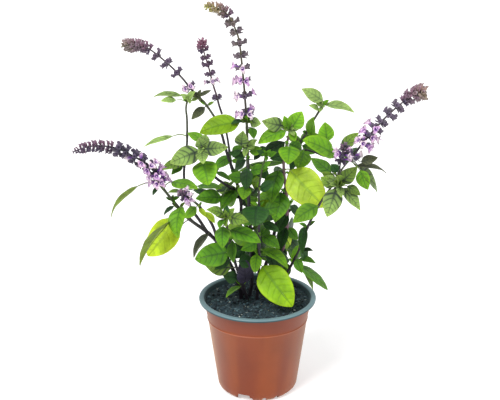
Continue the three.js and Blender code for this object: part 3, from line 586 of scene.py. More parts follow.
# %% The two layers
lip_under = POT_HEIGHT - LIP_HEIGHT
slope = (RIDGE_RADIUS - RIDGE_RISE - FOOT_RADIUS) / (RIDGE_HEIGHT - RIDGE_RISE - FOOT_HEIGHT)
above_floor = RECESS + 0.003
floor_radius = FOOT_RADIUS - 2 * WALL
foot_outside = [(PAD_RADIUS, 0), (PAD_RADIUS + 0.0006, 0.0004), (FOOT_RADIUS - 0.0007, FOOT_HEIGHT - 0.0011),
                (FOOT_RADIUS, FOOT_HEIGHT + 0.0005)]
upper_wall = [(FOOT_RADIUS + slope * (above_floor - FOOT_HEIGHT), above_floor),
              (RIDGE_RADIUS - RIDGE_RISE, RIDGE_HEIGHT - 1.6 * RIDGE_RISE),
              (RIDGE_RADIUS - 0.2 * RIDGE_RISE, RIDGE_HEIGHT - 0.5 * RIDGE_RISE),
              (RIDGE_RADIUS, RIDGE_HEIGHT + 0.2 * RIDGE_RISE),
              (RIDGE_RADIUS - 0.5 * RIDGE_RISE, RIDGE_HEIGHT + RIDGE_RISE),
              (NECK_RADIUS - 0.0016, lip_under - 0.006), (NECK_RADIUS, lip_under - 0.0002)]
foot_inside = [(HUB_RADIUS - 0.0008, 0), (HUB_RADIUS, 0.0008), (HUB_RADIUS + HUB_SPREAD, RECESS - 0.0006),
               (HUB_RADIUS + HUB_SPREAD + 0.0008, RECESS), (floor_radius - 0.002, RECESS),
               (floor_radius, RECESS - 0.0006),
               (FOOT_RADIUS - WALL, FOOT_HEIGHT + WALL), (PAD_RADIUS - WALL, 0)]
wall_inside = [(radius - LAYER, height) for radius, height in upper_wall[::-1]]
HAIR = 0.0001  # keeps the two layers' faces apart


def floor_line(above):
    """The profile from the floor's edge to the hub, at a height above the bottom's underside."""
    return [(floor_radius, RECESS + above), (HUB_RADIUS + HUB_SPREAD - above, RECESS + above),
            (HUB_RADIUS - above, above)]


pot_wall = turned("pot_wall", foot_inside + foot_outside + upper_wall + wall_inside + floor_line(LAYER),
                  POT_SIDES)

lining_inside = floor_line(WALL)[::-1]
lining_inside += [(radius - WALL, height + 0.0002) for radius, height in upper_wall]
lining_inside += [(NECK_RADIUS - 0.6 * WALL, POT_HEIGHT - 0.0014),
                  (NECK_RADIUS - 0.2 * WALL, POT_HEIGHT - 0.0004)]
lip_over = [(NECK_RADIUS + 0.001, POT_HEIGHT), (RIM_RADIUS - 0.0014, POT_HEIGHT - 0.0002),
            (RIM_RADIUS - 0.0004, POT_HEIGHT - 0.0007), (RIM_RADIUS, POT_HEIGHT - 0.0016),
            (RIM_RADIUS - 0.0002, lip_under), (RIM_RADIUS - 0.0012, lip_under),
            (RIM_RADIUS - 0.0016, lip_under + 0.0012), (NECK_RADIUS + 0.0004, lip_under + 0.001)]
lining_outside = [(radius - LAYER - HAIR, height) for radius, height in upper_wall[::-1]]
lining_outside += floor_line(LAYER + HAIR)
pot_lining = turned("pot_lining", lining_inside + lip_over + lining_outside, POT_SIDES)

# %% [markdown]
# The foot of such a pot is scalloped: eighteen lobes stand round it, with a notch between each two, and every
# sixth lobe is cut back to a wide arch that lets surplus water out. A block with rounded edges lies across
# the wall for each, so its copies cut openings with soft corners in the foot.

# %% The scalloped foot
def opening(width, height):
    """A block across the wall at the front, as wide as the opening and twice as tall, with soft edges."""
    select_none()
    bpy.ops.mesh.primitive_cube_add(size=1)
    block = bpy.context.object
    edit_all()
    bpy.ops.transform.resize(value=(width, NOTCH_REACH, 2 * height), center_override=(0, 0, 0))
    bpy.ops.transform.translate(value=(0, -NOTCH_START - NOTCH_REACH / 2, 0))
    edit_done()
    apply_modifier(block, "BEVEL", width=OPENING_ROUND, segments=3)
    return block


notch, wide_arch = opening(*NOTCH_SIZE), opening(*ARCH_SIZE)
openings = []
for lobe in range(LOBE_COUNT):
    pairs = [(notch, lobe + 0.5)]
    if lobe % LOBES_PER_ARCH == 0:
        pairs.append((wide_arch, lobe + FIRST_ARCH))
    for pattern, place in pairs:
        turn = Matrix.Rotation(2 * math.pi * place / LOBE_COUNT, 3, "Z")
        openings.append(copy_to(pattern, corners_of(pattern) @ np.array(turn).T))
for cutter in openings:
    apply_modifier(pot_wall, "BOOLEAN", object=cutter, operation="DIFFERENCE", solver="EXACT")
for used in [notch, wide_arch, *openings]:
    bpy.data.objects.remove(used)

POT_SMOOTHING = 40  # degrees
for layer, slot, finish in ((pot_wall, "pot", terracotta), (pot_lining, "pot_lining", lining)):
    smooth(layer, POT_SMOOTHING)
    finished(layer, slot, ["pot"], finish)

# %% [markdown]
# ## The soil
# The soil fills the pot to 6 mm under the lip. Its top is drawn in ring by ring and pushed up and down into
# lumps; then hundreds of crumbs, modelled once as a rough pebble, are scattered over it.

# %% Sizes of the fill
SOIL_LEVEL = 0.1035
SOIL_LUMP = 0.0018
LUMP_FADE = 0.008  # the lumps flatten within this of the wall
ROUGH_SCALE, ROUGH_HEIGHT = 260, 1.3 * MM
SOIL_RINGS = 22
SOIL_SIDES = 96
SOIL_SMOOTHING = 50  # degrees
FIT = 0.0004
CAD_SIDES = 40  # of the pot's solid, whose flats the fill stays clear of
DIRT = paint(34, 52, 58)


def within(radius):
    """A radius that fits inside a flat-sided wall of this radius."""
    return radius * math.cos(math.pi / CAD_SIDES) - FIT


def lump(x, y):
    """How far the soil's top stands above its level, in metres."""
    x, y = x / MM, y / MM
    wave = math.sin(0.31 * x + 0.13 * y) * math.cos(0.27 * y - 0.11 * x) + 0.5 * math.sin(0.6 * (x + y))
    return SOIL_LUMP * wave / 1.5


# %% The fill
wall_at_level = RIDGE_RADIUS - RIDGE_RISE - WALL
level_share = (SOIL_LEVEL - RIDGE_HEIGHT) / (lip_under - RIDGE_HEIGHT)
wall_at_level += level_share * (NECK_RADIUS - WALL - wall_at_level)
soil_edge = within(wall_at_level)
top = [(soil_edge * (1 - i / SOIL_RINGS), SOIL_LEVEL) for i in range(1, SOIL_RINGS)]
soil = turned("soil_fill", [(within(HUB_RADIUS - WALL), WALL + FIT),
                            (within(HUB_RADIUS + HUB_SPREAD - WALL), RECESS + WALL + FIT),
                            (within(FOOT_RADIUS - 2 * WALL), RECESS + WALL + FIT),
                            (within(FOOT_RADIUS - 0.5 * WALL), RECESS + 2 * WALL),
                            (within(RIDGE_RADIUS - RIDGE_RISE - WALL), RIDGE_HEIGHT),
                            (soil_edge, SOIL_LEVEL)] + top, SOIL_SIDES)
corners = corners_of(soil)
for corner in corners:
    away = math.hypot(corner[0], corner[1])
    if corner[2] > SOIL_LEVEL - MM and away < soil_edge - MM:
        rough = noise.fractal(Vector(corner) * ROUGH_SCALE, 1.0, 2.0, 4) * ROUGH_HEIGHT
        corner[2] += lump(corner[0], corner[1]) * min(1, (soil_edge - away) / LUMP_FADE) + rough
soil.data.vertices.foreach_set("co", corners.ravel())
mark(soil, "tint", DIRT)

# %% The crumbs and the flecks
PEBBLE_SHAPE = (1, 0.8, 0.65)
CRUMB_TILT = 0.6
ANY_TURN = (0, 6.28)  # radians, all the way round
CRUMB_RISE = 0.2  # of its size, how far a crumb's middle lies above the soil
select_none()
bpy.ops.mesh.primitive_ico_sphere_add(subdivisions=2, radius=0.5)
pebble = bpy.context.object
edit_all()
bpy.ops.transform.resize(value=PEBBLE_SHAPE, center_override=(0, 0, 0))
bpy.ops.transform.vertex_random(offset=0.09, seed=4)
edit_done()
pebble_corners = corners_of(pebble)
chance = random.Random(7)


def scattered(count, sizes, stretch, shades, reach):
    """Copies of the pebble lying on the soil, within a share of its radius."""
    made = []
    for _ in range(count):
        away = soil_edge * reach * math.sqrt(chance.random())
        angle = chance.uniform(0, 2 * math.pi)
        x, y = away * math.cos(angle), away * math.sin(angle)
        tilt = Matrix.Rotation(chance.uniform(-CRUMB_TILT, CRUMB_TILT), 3, "X")
        turn = Matrix.Rotation(chance.uniform(*ANY_TURN), 3, "Z") @ tilt
        size = chance.uniform(*sizes)
        shape = pebble_corners * np.array([size * stretch, size, size])
        at = np.array([x, y, SOIL_LEVEL + lump(x, y) + CRUMB_RISE * size])
        made.append(copy_to(pebble, shape @ np.array(turn).T + at, tint=chance.choice(shades)))
    return made


CRUMBS = {"count": 520, "sizes": (0.0012, 0.0042), "stretch": 1.1, "reach": 0.96}
SPLINTERS = {"count": 300, "sizes": (0.0003, 0.0008), "stretch": 3.6, "reach": 0.97}
BEADS = {"count": 12, "sizes": (0.0016, 0.0026), "stretch": 1.2, "reach": 0.9}
crumb_shades = [paint(30, 48, 56), paint(46, 66, 74), paint(20, 31, 38), paint(66, 88, 94)]
fleck_shades = [paint(196, 204, 196), paint(128, 148, 152), paint(98, 118, 126), paint(150, 144, 116)]
soil = joined("soil_fill", [soil] + scattered(**CRUMBS, shades=crumb_shades))
smooth(soil, SOIL_SMOOTHING)
finished(soil, "soil", ["soil"], soil_finish)

flecks = joined("soil_flecks", scattered(**SPLINTERS, shades=fleck_shades)
                + scattered(**BEADS, shades=fleck_shades[:2]))
smooth(flecks, SOIL_SMOOTHING)
finished(flecks, "perlite", ["soil"], perlite_finish)
bpy.data.objects.remove(pebble)

# %% [markdown]
# ## The plant's layout
# Each stem is a list of spots from the soil up, with its branches, and each leaf is the spots of its base and
# tip, how wide it is seen, how far its tip reaches forward and its tint. The same lists place the solids, so
# the pieces made here stand in them.
#
# A path is its radius at both ends in mm, then column, row and depth of each spot. A leaf is the column and
# row of its base, the column and row of its tip, its seen width in pixels, its reach in mm and its tint.
# Bushy is the height in mm up to which more leaves grow on a stem's far side, and slim says how much thinner
# its bark is drawn than its solid.

# %% The tall stem in the middle
STEMS = {}
STEMS["tall"] = {
    "bushy": 262,
    "paths": [([2.2, 1.2], [(250, 293, -10), (252, 280, -6), (251, 240, 2), (249, 205, 5),
                            (248, 170, 4), (247.5, 150, 3), (247, 130, 2), (246.5, 118, 2)])],
    "leaves": [
        (250, 121, 261, 124, 10, 6, "slate"), (252, 128, 254, 139, 8, 14, "mid"),
        (240, 122, 199.5, 131, 18, 10, "fresh"), (243, 121, 231, 123, 4, 4, "dark"),
        (241, 146, 243, 131, 13, 12, "slate"), (251, 149, 255, 140, 6, 8, "slate"),
        (258, 150, 266, 147, 4, 4, "dark"), (247, 168, 246, 190, 12, 10, "dark"),
        (252, 165, 270, 178, 12, -6, "dark"), (245, 186, 243, 199, 13, 14, "bright"),
        (240, 150, 232, 157, 5, 6, "dark"), (254, 160, 263, 152, 5, -6, "dark"),
        (246, 160, 234, 170, 9, -10, "dark"),
    ],
}

# %% The stem that leans to the upper left
STEMS["upper_left"] = {
    "bushy": 235,
    "paths": [
        ([2.2, 1.0], [(244, 291, -16), (243, 280, -16), (241, 255, -16), (240, 230, -16),
                      (241, 203, -22), (236, 180, -27), (231, 165, -31), (226, 150, -35),
                      (222, 135, -39), (219, 127, -41), (215, 118, -43), (207, 106, -45),
                      (203, 101, -46), (197, 95, -48)]),
        ([1.2, 0.9], [(231, 165, -31), (229, 148, -45), (226.5, 133, -50), (222, 115, -54)]),
        ([1.4, 1.1], [(238.5, 192, -24.5), (228, 186, -8), (215, 177, 12), (206, 165, 26),
                      (202, 152, 34), (202, 146, 36)]),
    ],
    "leaves": [
        (236, 190, 220, 208, 12, 26, "mid"), (234, 187, 214, 191, 5, 8, "dark"),
        (231, 169, 240, 178, 6, 8, "mid"), (216, 172, 231, 180, 5, 5, "mid"),
        (231, 156, 214, 168, 10, 16, "mid"), (232, 160, 244, 162, 6, 10, "bright"),
        (200, 151, 170, 163, 18, 14, "slate"), (204, 149, 227, 147, 14, 10, "slate"),
        (202, 150, 203, 162, 12, 22, "slate"), (202, 147, 199, 138, 11, 2, "slate"),
        (202, 161, 208, 184, 23, 26, "bright"), (203, 144, 206, 134, 10, -8, "slate"),
        (205, 107, 191, 119, 8, 6, "dusky"), (198, 97, 191, 101, 4, 4, "pale"),
        (200, 96, 211, 90, 4, -4, "dusky"), (222, 198, 196, 198, 14, 20, "mid"),
        (203, 142, 188, 131, 9, -14, "bright"), (232, 152, 243, 146, 8, -6, "mid"),
    ],
}

# %% The stem that leans to the left
STEMS["left"] = {
    "bushy": 150,
    "paths": [
        ([2.4, 1.1], [(241, 296, -4), (239, 287, 1), (234, 272, 8), (226, 256, 16), (218, 243, 20),
                      (207, 232, 24), (193, 222, 29), (183, 213, 33), (173, 201, 37),
                      (162, 187, 42), (160.8, 184.6, 43)]),
        ([1.7, 0.9], [(207, 232, 24), (200, 221, 12), (191, 208, 0), (186, 192, -10),
                      (184, 176, -18), (185, 160, -24), (187, 143, -29), (187, 120, -33),
                      (186, 108, -35), (188, 98, -36)]),
        ([1.7, 1.0], [(218, 243, 20), (214, 229, 32), (209, 219, 40), (203, 211, 47),
                      (198, 205, 53), (191, 199, 59)]),
    ],
    "leaves": [
        (138, 186, 107, 214, 5, 4, "moss"), (173, 136, 143, 144, 5, 6, "pale"),
        (182, 96, 153, 94, 5, -4, "pale"), (176, 100, 161, 100, 6, 6, "pale"),
        (189, 98, 195, 91, 4, 2, "pale"), (182, 163, 162, 168, 9, 14, "olive"),
        (171, 182, 198, 187, 10, 14, "bright"), (197, 186, 222, 187, 6, 10, "mid"),
        (193, 190, 215, 194, 6, -4, "dark"), (176, 218, 147.5, 256.5, 27, 14, "yellow"),
        (170, 221, 138, 264, 6, 36, "moss"), (173, 221, 166, 235, 8, 32, "olive"),
        (181, 207, 176, 237, 15, 24, "bright"), (174, 206, 163, 214, 4, 5, "dark"),
        (181, 191, 168, 192, 4, 6, "olive"), (199, 208, 206, 217, 5, 6, "lime"),
        (205, 212, 215, 223, 6, 8, "lime"), (209, 233, 191, 256, 7, 12, "dusky"),
        (158, 187, 152, 195, 4, 3, "dark"), (176, 234, 163, 242, 4, 20, "dusky"),
    ],
}

# %% The inner stem on the right
STEMS["inner_right"] = {
    "bushy": 262,
    "paths": [([2.2, 1.0], [(265, 292, -10), (270, 283, -9), (279, 265, -8), (284, 244, -7),
                            (287, 225, -6), (287, 205, -6), (286, 190, -6), (284, 172, -6),
                            (284, 158, -6), (287, 143, -6), (290, 130, -6)])],
    "leaves": [
        (284, 126, 262, 121, 14, 8, "slate"), (288, 127, 284, 116, 8, 0, "bright"),
        (291, 129, 302, 111.5, 16, -4, "bright"), (291, 131, 295, 141, 8, 8, "bright"),
        (286, 131, 258, 143, 13, 18, "bright"), (285, 142, 260, 156, 12, 10, "dark"),
        (290, 146, 288, 164, 20, 26, "bright"), (290, 170, 324, 206.5, 32, 40, "lime"),
        (279, 170, 271, 203, 18, 22, "mid"), (281, 192, 275, 221, 20, 26, "mid"),
        (282, 262, 268, 277, 12, 4, "dark"), (287, 233, 291, 245, 4, 4, "lime"),
        (290, 206, 300, 216, 8, -8, "dark"), (284, 163, 232, 171, 6, 26, "bright"),
        (286, 226, 280, 250, 11, 4, "dark"), (288, 214, 278, 232, 10, 6, "dark"),
    ],
}

# %% The stem that leans to the upper right
STEMS["upper_right"] = {
    "bushy": 268,
    "paths": [
        ([2.2, 0.9], [(257, 287, -26), (262, 276, -28), (271, 247, -40), (279, 212, -50),
                      (288, 180, -55), (296, 155, -56), (301, 142, -56), (305, 135, -55),
                      (313, 121, -53), (318, 113, -52), (322, 106, -51)]),
        ([1.1, 0.8], [(296, 155, -56), (304, 150, -46), (314, 152, -34), (324, 156, -20),
                      (333, 157.5, -12)]),
    ],
    "leaves": [
        (323, 101, 302.5, 87.5, 12, -2, "pale"), (319, 110, 309, 105, 5, 4, "pale"),
        (325, 105, 355, 110, 8, 6, "pale"), (311, 137, 313, 117, 10, 8, "bright"),
        (327, 142, 325, 122, 15, -8, "bright"), (335, 155, 304, 139, 16, 16, "bright"),
        (300, 143, 287, 136, 8, 12, "olive"), (304, 150, 298, 169, 17, 12, "bright"),
        (296, 157, 290, 170, 8, 4, "dark"), (342, 150, 358, 132, 11, -6, "olive"),
        (291, 186, 304, 194, 10, -6, "dark"), (300, 141, 319, 133, 9, -8, "bright"),
    ],
}

# %% The stem that leans to the right
STEMS["right"] = {
    "bushy": 0, "slim": 0.66,
    "paths": [
        ([2.3, 1.1], [(272, 298, -2), (279, 285, 5), (289, 269, 11), (296, 256, 17), (302, 241, 22),
                      (310, 222, 28), (319, 205, 34), (327, 193, 38), (334, 183, 41),
                      (340, 172, 43), (346, 164, 45), (351, 158, 46)]),
        ([1.2, 1.0], [(327, 193, 38), (333, 190, 48), (339, 185, 56)]),
        ([1.1, 0.9], [(340, 172, 43), (340, 166, 54), (341, 162, 60)]),
    ],
    "leaves": [
        (341, 183, 357, 167, 14, 6, "olive"), (336, 184, 322, 172, 9, 4, "olive"),
        (337, 188, 327, 217, 18, 10, "slate"), (342, 188, 361, 210, 11, 8, "slate"),
        (339, 184, 339, 176, 6, 8, "olive"), (360, 170, 368, 190, 13, 6, "bright"),
        (359, 167, 381, 191, 9, -4, "olive"), (347, 186, 361, 195, 8, -4, "olive"),
        (361, 162, 378, 157, 9, -6, "dusky"), (356, 166, 388, 170, 5, -12, "dusky"),
        (338, 172, 331, 164, 9, -6, "dark"), (334, 187, 321, 177, 10, 2, "olive"),
        (331, 173, 311, 157.5, 12, -10, "mid"), (350, 159, 356, 146, 9, 2, "dark"),
        (318, 206, 293, 222, 16, 12, "bright"), (306, 226, 301, 254, 9, -8, "dark"),
        (299, 245, 290, 262, 4, -2, "bright"), (299, 259, 316, 263, 6, 4, "mid"),
        (299, 265, 329.5, 288, 9, 10, "mid"), (303, 250, 313, 250, 4, 3, "dark"),
        (304, 268, 314, 290, 5, 2, "olive"),
    ],
}

# %% The stem at the centre
STEMS["centre"] = {
    "bushy": 240, "slim": 0.72,
    "paths": [([2.2, 1.0], [(257, 297, 0), (258, 286, 6), (259, 262, 13), (259, 240, 17),
                            (259, 220, 18), (259, 205, 17), (259, 190, 15), (261, 175, 13),
                            (264, 162, 11), (266, 155, 10)])],
    "leaves": [
        (257, 206, 255.5, 225, 25, 26, "dark"), (262, 250, 289, 267, 10, 12, "bright"),
        (257, 243, 241, 250, 11, 14, "mid"), (257, 254, 255, 273, 11, 14, "bright"),
        (262, 266, 292, 306, 30, 34, "fresh"), (262, 236, 280, 248, 11, 14, "mid"),
        (263, 223, 280, 231, 8, 8, "dark"), (262, 169, 270, 162, 5, 4, "mid"),
        (264, 156, 257, 150, 5, 3, "dark"), (260, 190, 274, 181, 9, 8, "dark"),
        (268, 156, 276, 152, 5, 4, "mid"),
    ],
}

# %% The short stem in front, on the left
STEMS["front_left"] = {
    "bushy": 0,
    "paths": [([1.9, 1.0], [(247, 299, 4), (244, 290, 10), (238, 272, 21), (233, 255, 31),
                            (229, 240, 40), (227, 228, 47), (226, 217, 53)])],
    "leaves": [
        (224, 215, 207, 209, 9, 8, "olive"), (228, 217, 248, 221, 12, 12, "olive"),
        (226, 216, 227, 205, 6, -2, "dark"), (224, 219, 219, 228, 6, 14, "mid"),
        (223, 226, 222.5, 248, 14, 16, "mid"), (230, 230, 261, 242, 14, 14, "mid"),
        (233, 241, 233, 263, 9, 12, "mid"), (229, 252, 196, 259, 22, 16, "mid"),
        (231, 260, 212, 268, 10, -6, "dark"), (245, 284, 243, 258, 16, 8, "purple"),
        (238, 278, 223, 275, 12, 6, "dark"), (241, 286, 225.5, 297, 5, 14, "bright"),
    ],
}

# %% [markdown]
# A spike is the spots of its axis and its whorls, each with its column, row and number of open flowers. Then
# come where its dense head begins, with the head's radius there and at its end in mm, and the tints of its
# whorls, its head and its end. Size is given where its whorls are smaller than the others'.

# %% The three upper spikes
SPIKES = {}
SPIKES["tall"] = {
    "points": [(246.3, 117, 2), (246, 112, 2), (245, 98, 1), (243.5, 80, 0), (241.5, 60, 0),
               (239, 40, 0), (234.5, 27, 2), (231, 19, 3), (224.5, 12, 5), (215.5, 7.5, 7),
               (204.5, 6, 9)],
    "whorls": [(246, 113, 4), (245, 96, 3), (243.5, 81, 4), (242, 68, 2), (241, 56, 0),
               (239, 44, 0), (236.5, 33, 0), (233, 23.5, 0)],
    "head": ((228, 15.5), (6, 5)), "tints": ("plum", "khaki", "lime"),
}
SPIKES["upper_left"] = {
    "points": [(196, 94, -48.5), (191, 89, -50), (183, 79, -52), (172, 67.5, -54), (160, 57, -56),
               (149, 49, -58), (140, 46, -59), (123, 44, -61)],
    "whorls": [(190, 87, 3), (177, 73, 0), (167, 64, 0), (158, 55, 0)],
    "head": ((150, 49.5), (6, 8)), "tints": ("plum", "brown", "sage"),
}
SPIKES["short"] = {
    "points": [(222, 114, -54), (219, 105, -55), (217, 97, -55), (213.5, 86, -55), (211, 76.5, -54),
               (208, 65, -53), (204.5, 54, -52), (201, 39.5, -50)],
    "whorls": [(217.3, 98, 0), (212.5, 81.5, 3), (210.3, 74, 0), (207.8, 64.5, 0), (205.5, 57.5, 0)],
    "size": 0.8, "head": ((203.5, 51), (6, 5.5)), "tints": ("plum", "rose", "rose"),
}

# %% The four lower spikes
SPIKES["left"] = {
    "points": [(160.3, 183.5, 43.6), (158.5, 178.5, 45), (155, 172.5, 46.5), (150.5, 167.5, 48),
               (145, 163, 49.5), (139, 159.3, 51), (132, 155.6, 53), (124, 151.3, 55), (115, 148, 57),
               (104, 146, 59), (93, 146, 61), (82, 148.5, 63), (73, 152, 65)],
    "whorls": [(159.3, 181, 5), (155.8, 174, 4), (150, 167, 4), (142.5, 161.4, 2), (134.5, 157, 1),
               (126, 152.4, 0), (119, 149.4, 0)],
    "head": ((112, 147.4), (6, 4.5)), "tints": ("ink", "slate", "plum"),
}
SPIKES["front_left"] = {
    "points": [(190.4, 198.6, 59.7), (186, 196, 67), (182, 194, 75), (180, 192, 81)],
    "whorls": [(188, 197, 3), (184, 195, 3)],
    "size": 0.75, "head": ((182, 194), (4, 3)), "tints": ("ink", "ink", "plum"),
}
SPIKES["right"] = {
    "points": [(351.6, 157.3, 46.2), (363, 143, 48), (368, 137, 48), (374, 130, 49), (383, 120, 50),
               (393, 110.5, 51), (400, 104.5, 52), (407, 99, 53), (414, 95, 54), (421, 92.5, 55),
               (427, 92, 56)],
    "whorls": [(353.5, 155.5, 2), (363, 143, 5), (369, 136, 4), (375, 129, 2), (381, 122, 0),
               (389, 114.5, 0), (397, 107, 0)],
    "head": ((403, 102), (6, 9)), "tints": ("slate", "brown", "khaki"),
}
SPIKES["front_right"] = {
    "points": [(341.3, 161.3, 61), (342, 157, 66), (343.5, 151, 71), (345, 144, 75)],
    "whorls": [(341.7, 159.5, 2), (342.8, 154, 3)],
    "size": 0.8, "head": ((343.8, 150), (4.5, 4)), "tints": ("ink", "ink", "plum"),
}

# %% Colours by name
# Leaf tints: the blade, its veins, its back, and the strength of the flush at its base.
LEAF_TINTS = {
    "yellow": (paint(178, 208, 40), paint(124, 150, 30), paint(170, 192, 70), 0.0),
    "lime": (paint(170, 202, 48), paint(96, 136, 36), paint(156, 182, 72), 0.0),
    "fresh": (paint(122, 166, 10), paint(66, 112, 22), paint(126, 160, 58), 0.05),
    "bright": (paint(106, 162, 22), paint(44, 88, 36), paint(120, 156, 66), 0.4),
    "pale": (paint(150, 182, 96), paint(72, 96, 62), paint(150, 170, 112), 0.45),
    "mid": (paint(76, 130, 14), paint(30, 64, 30), paint(98, 132, 60), 0.45),
    "dark": (paint(38, 80, 26), paint(18, 40, 30), paint(56, 84, 48), 0.4),
    "olive": (paint(112, 148, 48), paint(34, 42, 42), paint(86, 90, 66), 0.9),
    "moss": (paint(114, 138, 46), paint(72, 84, 44), paint(116, 132, 70), 0.4),
    "dusky": (paint(92, 100, 66), paint(44, 50, 46), paint(84, 90, 72), 0.6),
    "slate": (paint(138, 172, 84), paint(36, 48, 48), paint(104, 108, 96), 1.0),
    "purple": (paint(56, 52, 70), paint(30, 26, 42), paint(64, 58, 74), 0.5),
}
CALYX_TINTS = {
    "ink": paint(34, 34, 54), "slate": paint(60, 60, 84), "plum": paint(68, 56, 84),
    "mauve": paint(150, 118, 142), "rose": paint(146, 92, 112), "sage": paint(146, 150, 108),
    "brown": paint(142, 124, 130), "khaki": paint(172, 162, 112), "lime": paint(200, 208, 70),
}
STEM_TINT = paint(32, 26, 34)
PINK_STEM_TINT = paint(112, 76, 94)
GREEN_STEM_TINT = paint(104, 124, 58)
print("layout:", len(STEMS), "stems,", sum(len(s["leaves"]) for s in STEMS.values()), "leaves,",
      len(SPIKES), "spikes")

# %% [markdown]
# ## Following a route
# Stems and spikes are drawn as smooth lines through their spots. These helpers find the place on a route that
# is seen nearest to a spot, walk along it, and smooth it.

# %% Routes
RUN_STEPS = 6  # places on a smooth run for each gap between spots


def smooth_run(points):
    run = []
    for i in range(len(points) - 1):
        a, b, c, d = (points[min(max(k, 0), len(points) - 1)] for k in (i - 1, i, i + 1, i + 2))
        for step in range(RUN_STEPS):
            t = step / RUN_STEPS
            run.append(0.5 * (2 * b + (c - a) * t + (2 * a - 5 * b + 4 * c - d) * t * t
                              + (3 * b - a - 3 * c + d) * t ** 3))
    return run + [points[-1]]


def nearest_on(routes, column, row):
    """The spot on the routes that is seen nearest to a column and row, its route and its place along it."""
    best = None
    for r, points in enumerate(routes):
        for i, (a, b) in enumerate(zip(points, points[1:])):
            dx, dy = b[0] - a[0], b[1] - a[1]
            t = min(1, max(0, ((column - a[0]) * dx + (row - a[1]) * dy) / (dx * dx + dy * dy)))
            at = [p + t * (q - p) for p, q in zip(a, b)]
            gap = math.hypot(column - at[0], row - at[1])
            if best is None or gap < best[0]:
                best = (gap, at, r, i + t)
    return best[1:]


def lengths_along(run):
    return np.concatenate([[0], np.cumsum([(b - a).length for a, b in zip(run, run[1:])])])


def walk(run, distance):
    """The place and the way ahead at a distance along a run."""
    marks = lengths_along(run)
    i = int(np.clip(np.searchsorted(marks, distance) - 1, 0, len(run) - 2))
    ahead = (run[i + 1] - run[i]).normalized()
    return run[i] + ahead * (distance - marks[i]), ahead


# %% Tubes
def tubes(name, strands):
    """One mesh of tubes. A strand is its places, its radius at each and its colour at each."""
    curve = bpy.data.curves.new(name, "CURVE")
    curve.dimensions = "3D"
    curve.bevel_depth = 1
    curve.bevel_resolution = 1
    for places, radii, _ in strands:
        line = curve.splines.new("POLY")
        line.points.add(len(places) - 1)
        line.points.foreach_set("co", [v for p in places for v in (*p, 1)])
        line.points.foreach_set("radius", list(radii))
    piece = bpy.data.objects.new(name, curve)
    bpy.context.collection.objects.link(piece)
    make_active(piece)
    bpy.ops.object.convert(target="MESH")
    piece = bpy.context.object
    sides = len(piece.data.vertices) // sum(len(places) for places, _, _ in strands)
    colours = [c for _, _, tints in strands for c in tints]
    mark(piece, "tint", np.repeat(np.array(colours), sides, axis=0))
    edit_all()
    bpy.ops.mesh.fill_holes(sides=sides)
    edit_done()
    smooth(piece)
    return piece


# %% [markdown]
# ## One leaf
# A basil leaf is an egg-shaped blade with a toothed edge. Its side veins run forward from the rib, and the
# blade is puffed up between them. The pattern is a grid. Each of its places is drawn towards the tip, the
# more the nearer it is to the edge, so that the rows follow the veins, and then in to the blade's outline.
# Every second row is lifted between the veins and pushed out into a tooth.

# %% Sizes of the leaf pattern
LEAF_COLUMNS = 6
LEAF_ROWS = 2 * VEIN_PAIRS
WIDEST = 0.4  # share of the length from the base
ROUNDNESS = (0.52, 0.82)  # at the base and at the tip; smaller is rounder
VEIN_SLANT = 0.45  # how far forward the edge lies of its row
PUFF = 0.012  # of the leaf's length
TOOTH = 1.05
NARROWEST = 0.03


def outline(level):
    """Share of the full width at a share of the length: a round base and a blunt tip."""
    low, high = max(0, level) / WIDEST, max(0, 1 - level) / (1 - WIDEST)
    return max(NARROWEST, low ** ROUNDNESS[0] * high ** ROUNDNESS[1])


# %% Shape the leaf pattern
leaf_pattern = flat_grid("leaf_pattern", LEAF_COLUMNS, LEAF_ROWS)


def row_of(corner):
    return corner.index // (LEAF_COLUMNS + 1)


def column_of(corner):
    """Counted from the rib outwards."""
    return abs(corner.index % (LEAF_COLUMNS + 1) - LEAF_COLUMNS // 2)


bpy.ops.object.mode_set(mode="EDIT")
for row in range(LEAF_ROWS + 1):
    for column in range(1, LEAF_COLUMNS // 2 + 1):
        share, level = column / (LEAF_COLUMNS // 2), row / LEAF_ROWS
        forward = VEIN_SLANT * min(1, 3 * level) * (1 - level) * share ** 1.2
        select_where(leaf_pattern, lambda c: row_of(c) == row and column_of(c) == column)
        bpy.ops.transform.resize(value=(outline(level + forward), 1, 1), center_override=(0, 0, 0))
        bpy.ops.transform.translate(value=(0, forward, 0))
select_where(leaf_pattern, lambda c: row_of(c) % 2 and 0 < column_of(c) < LEAF_COLUMNS // 2)
bpy.ops.transform.translate(value=(0, 0, PUFF))
select_where(leaf_pattern, lambda c: column_of(c) == 0)
bpy.ops.transform.translate(value=(0, 0, -PUFF))
select_where(leaf_pattern, lambda c: row_of(c) % 2 and column_of(c) == LEAF_COLUMNS // 2)
bpy.ops.transform.resize(value=(TOOTH, 1, 1), center_override=(0, 0, 0))
edit_done()
leaf_flat = corners_of(leaf_pattern)
print("leaf pattern:", len(leaf_pattern.data.polygons), "faces")

# %% [markdown]
# ## Where each leaf goes
# A leaf's rib runs from its base to its tip in a low arch. The blade turns about the rib until it is seen as
# wide as it should be. The solid's leaf may have been bent a little nearer or further to clear a neighbour,
# so the tip is looked up among the solid's corners.

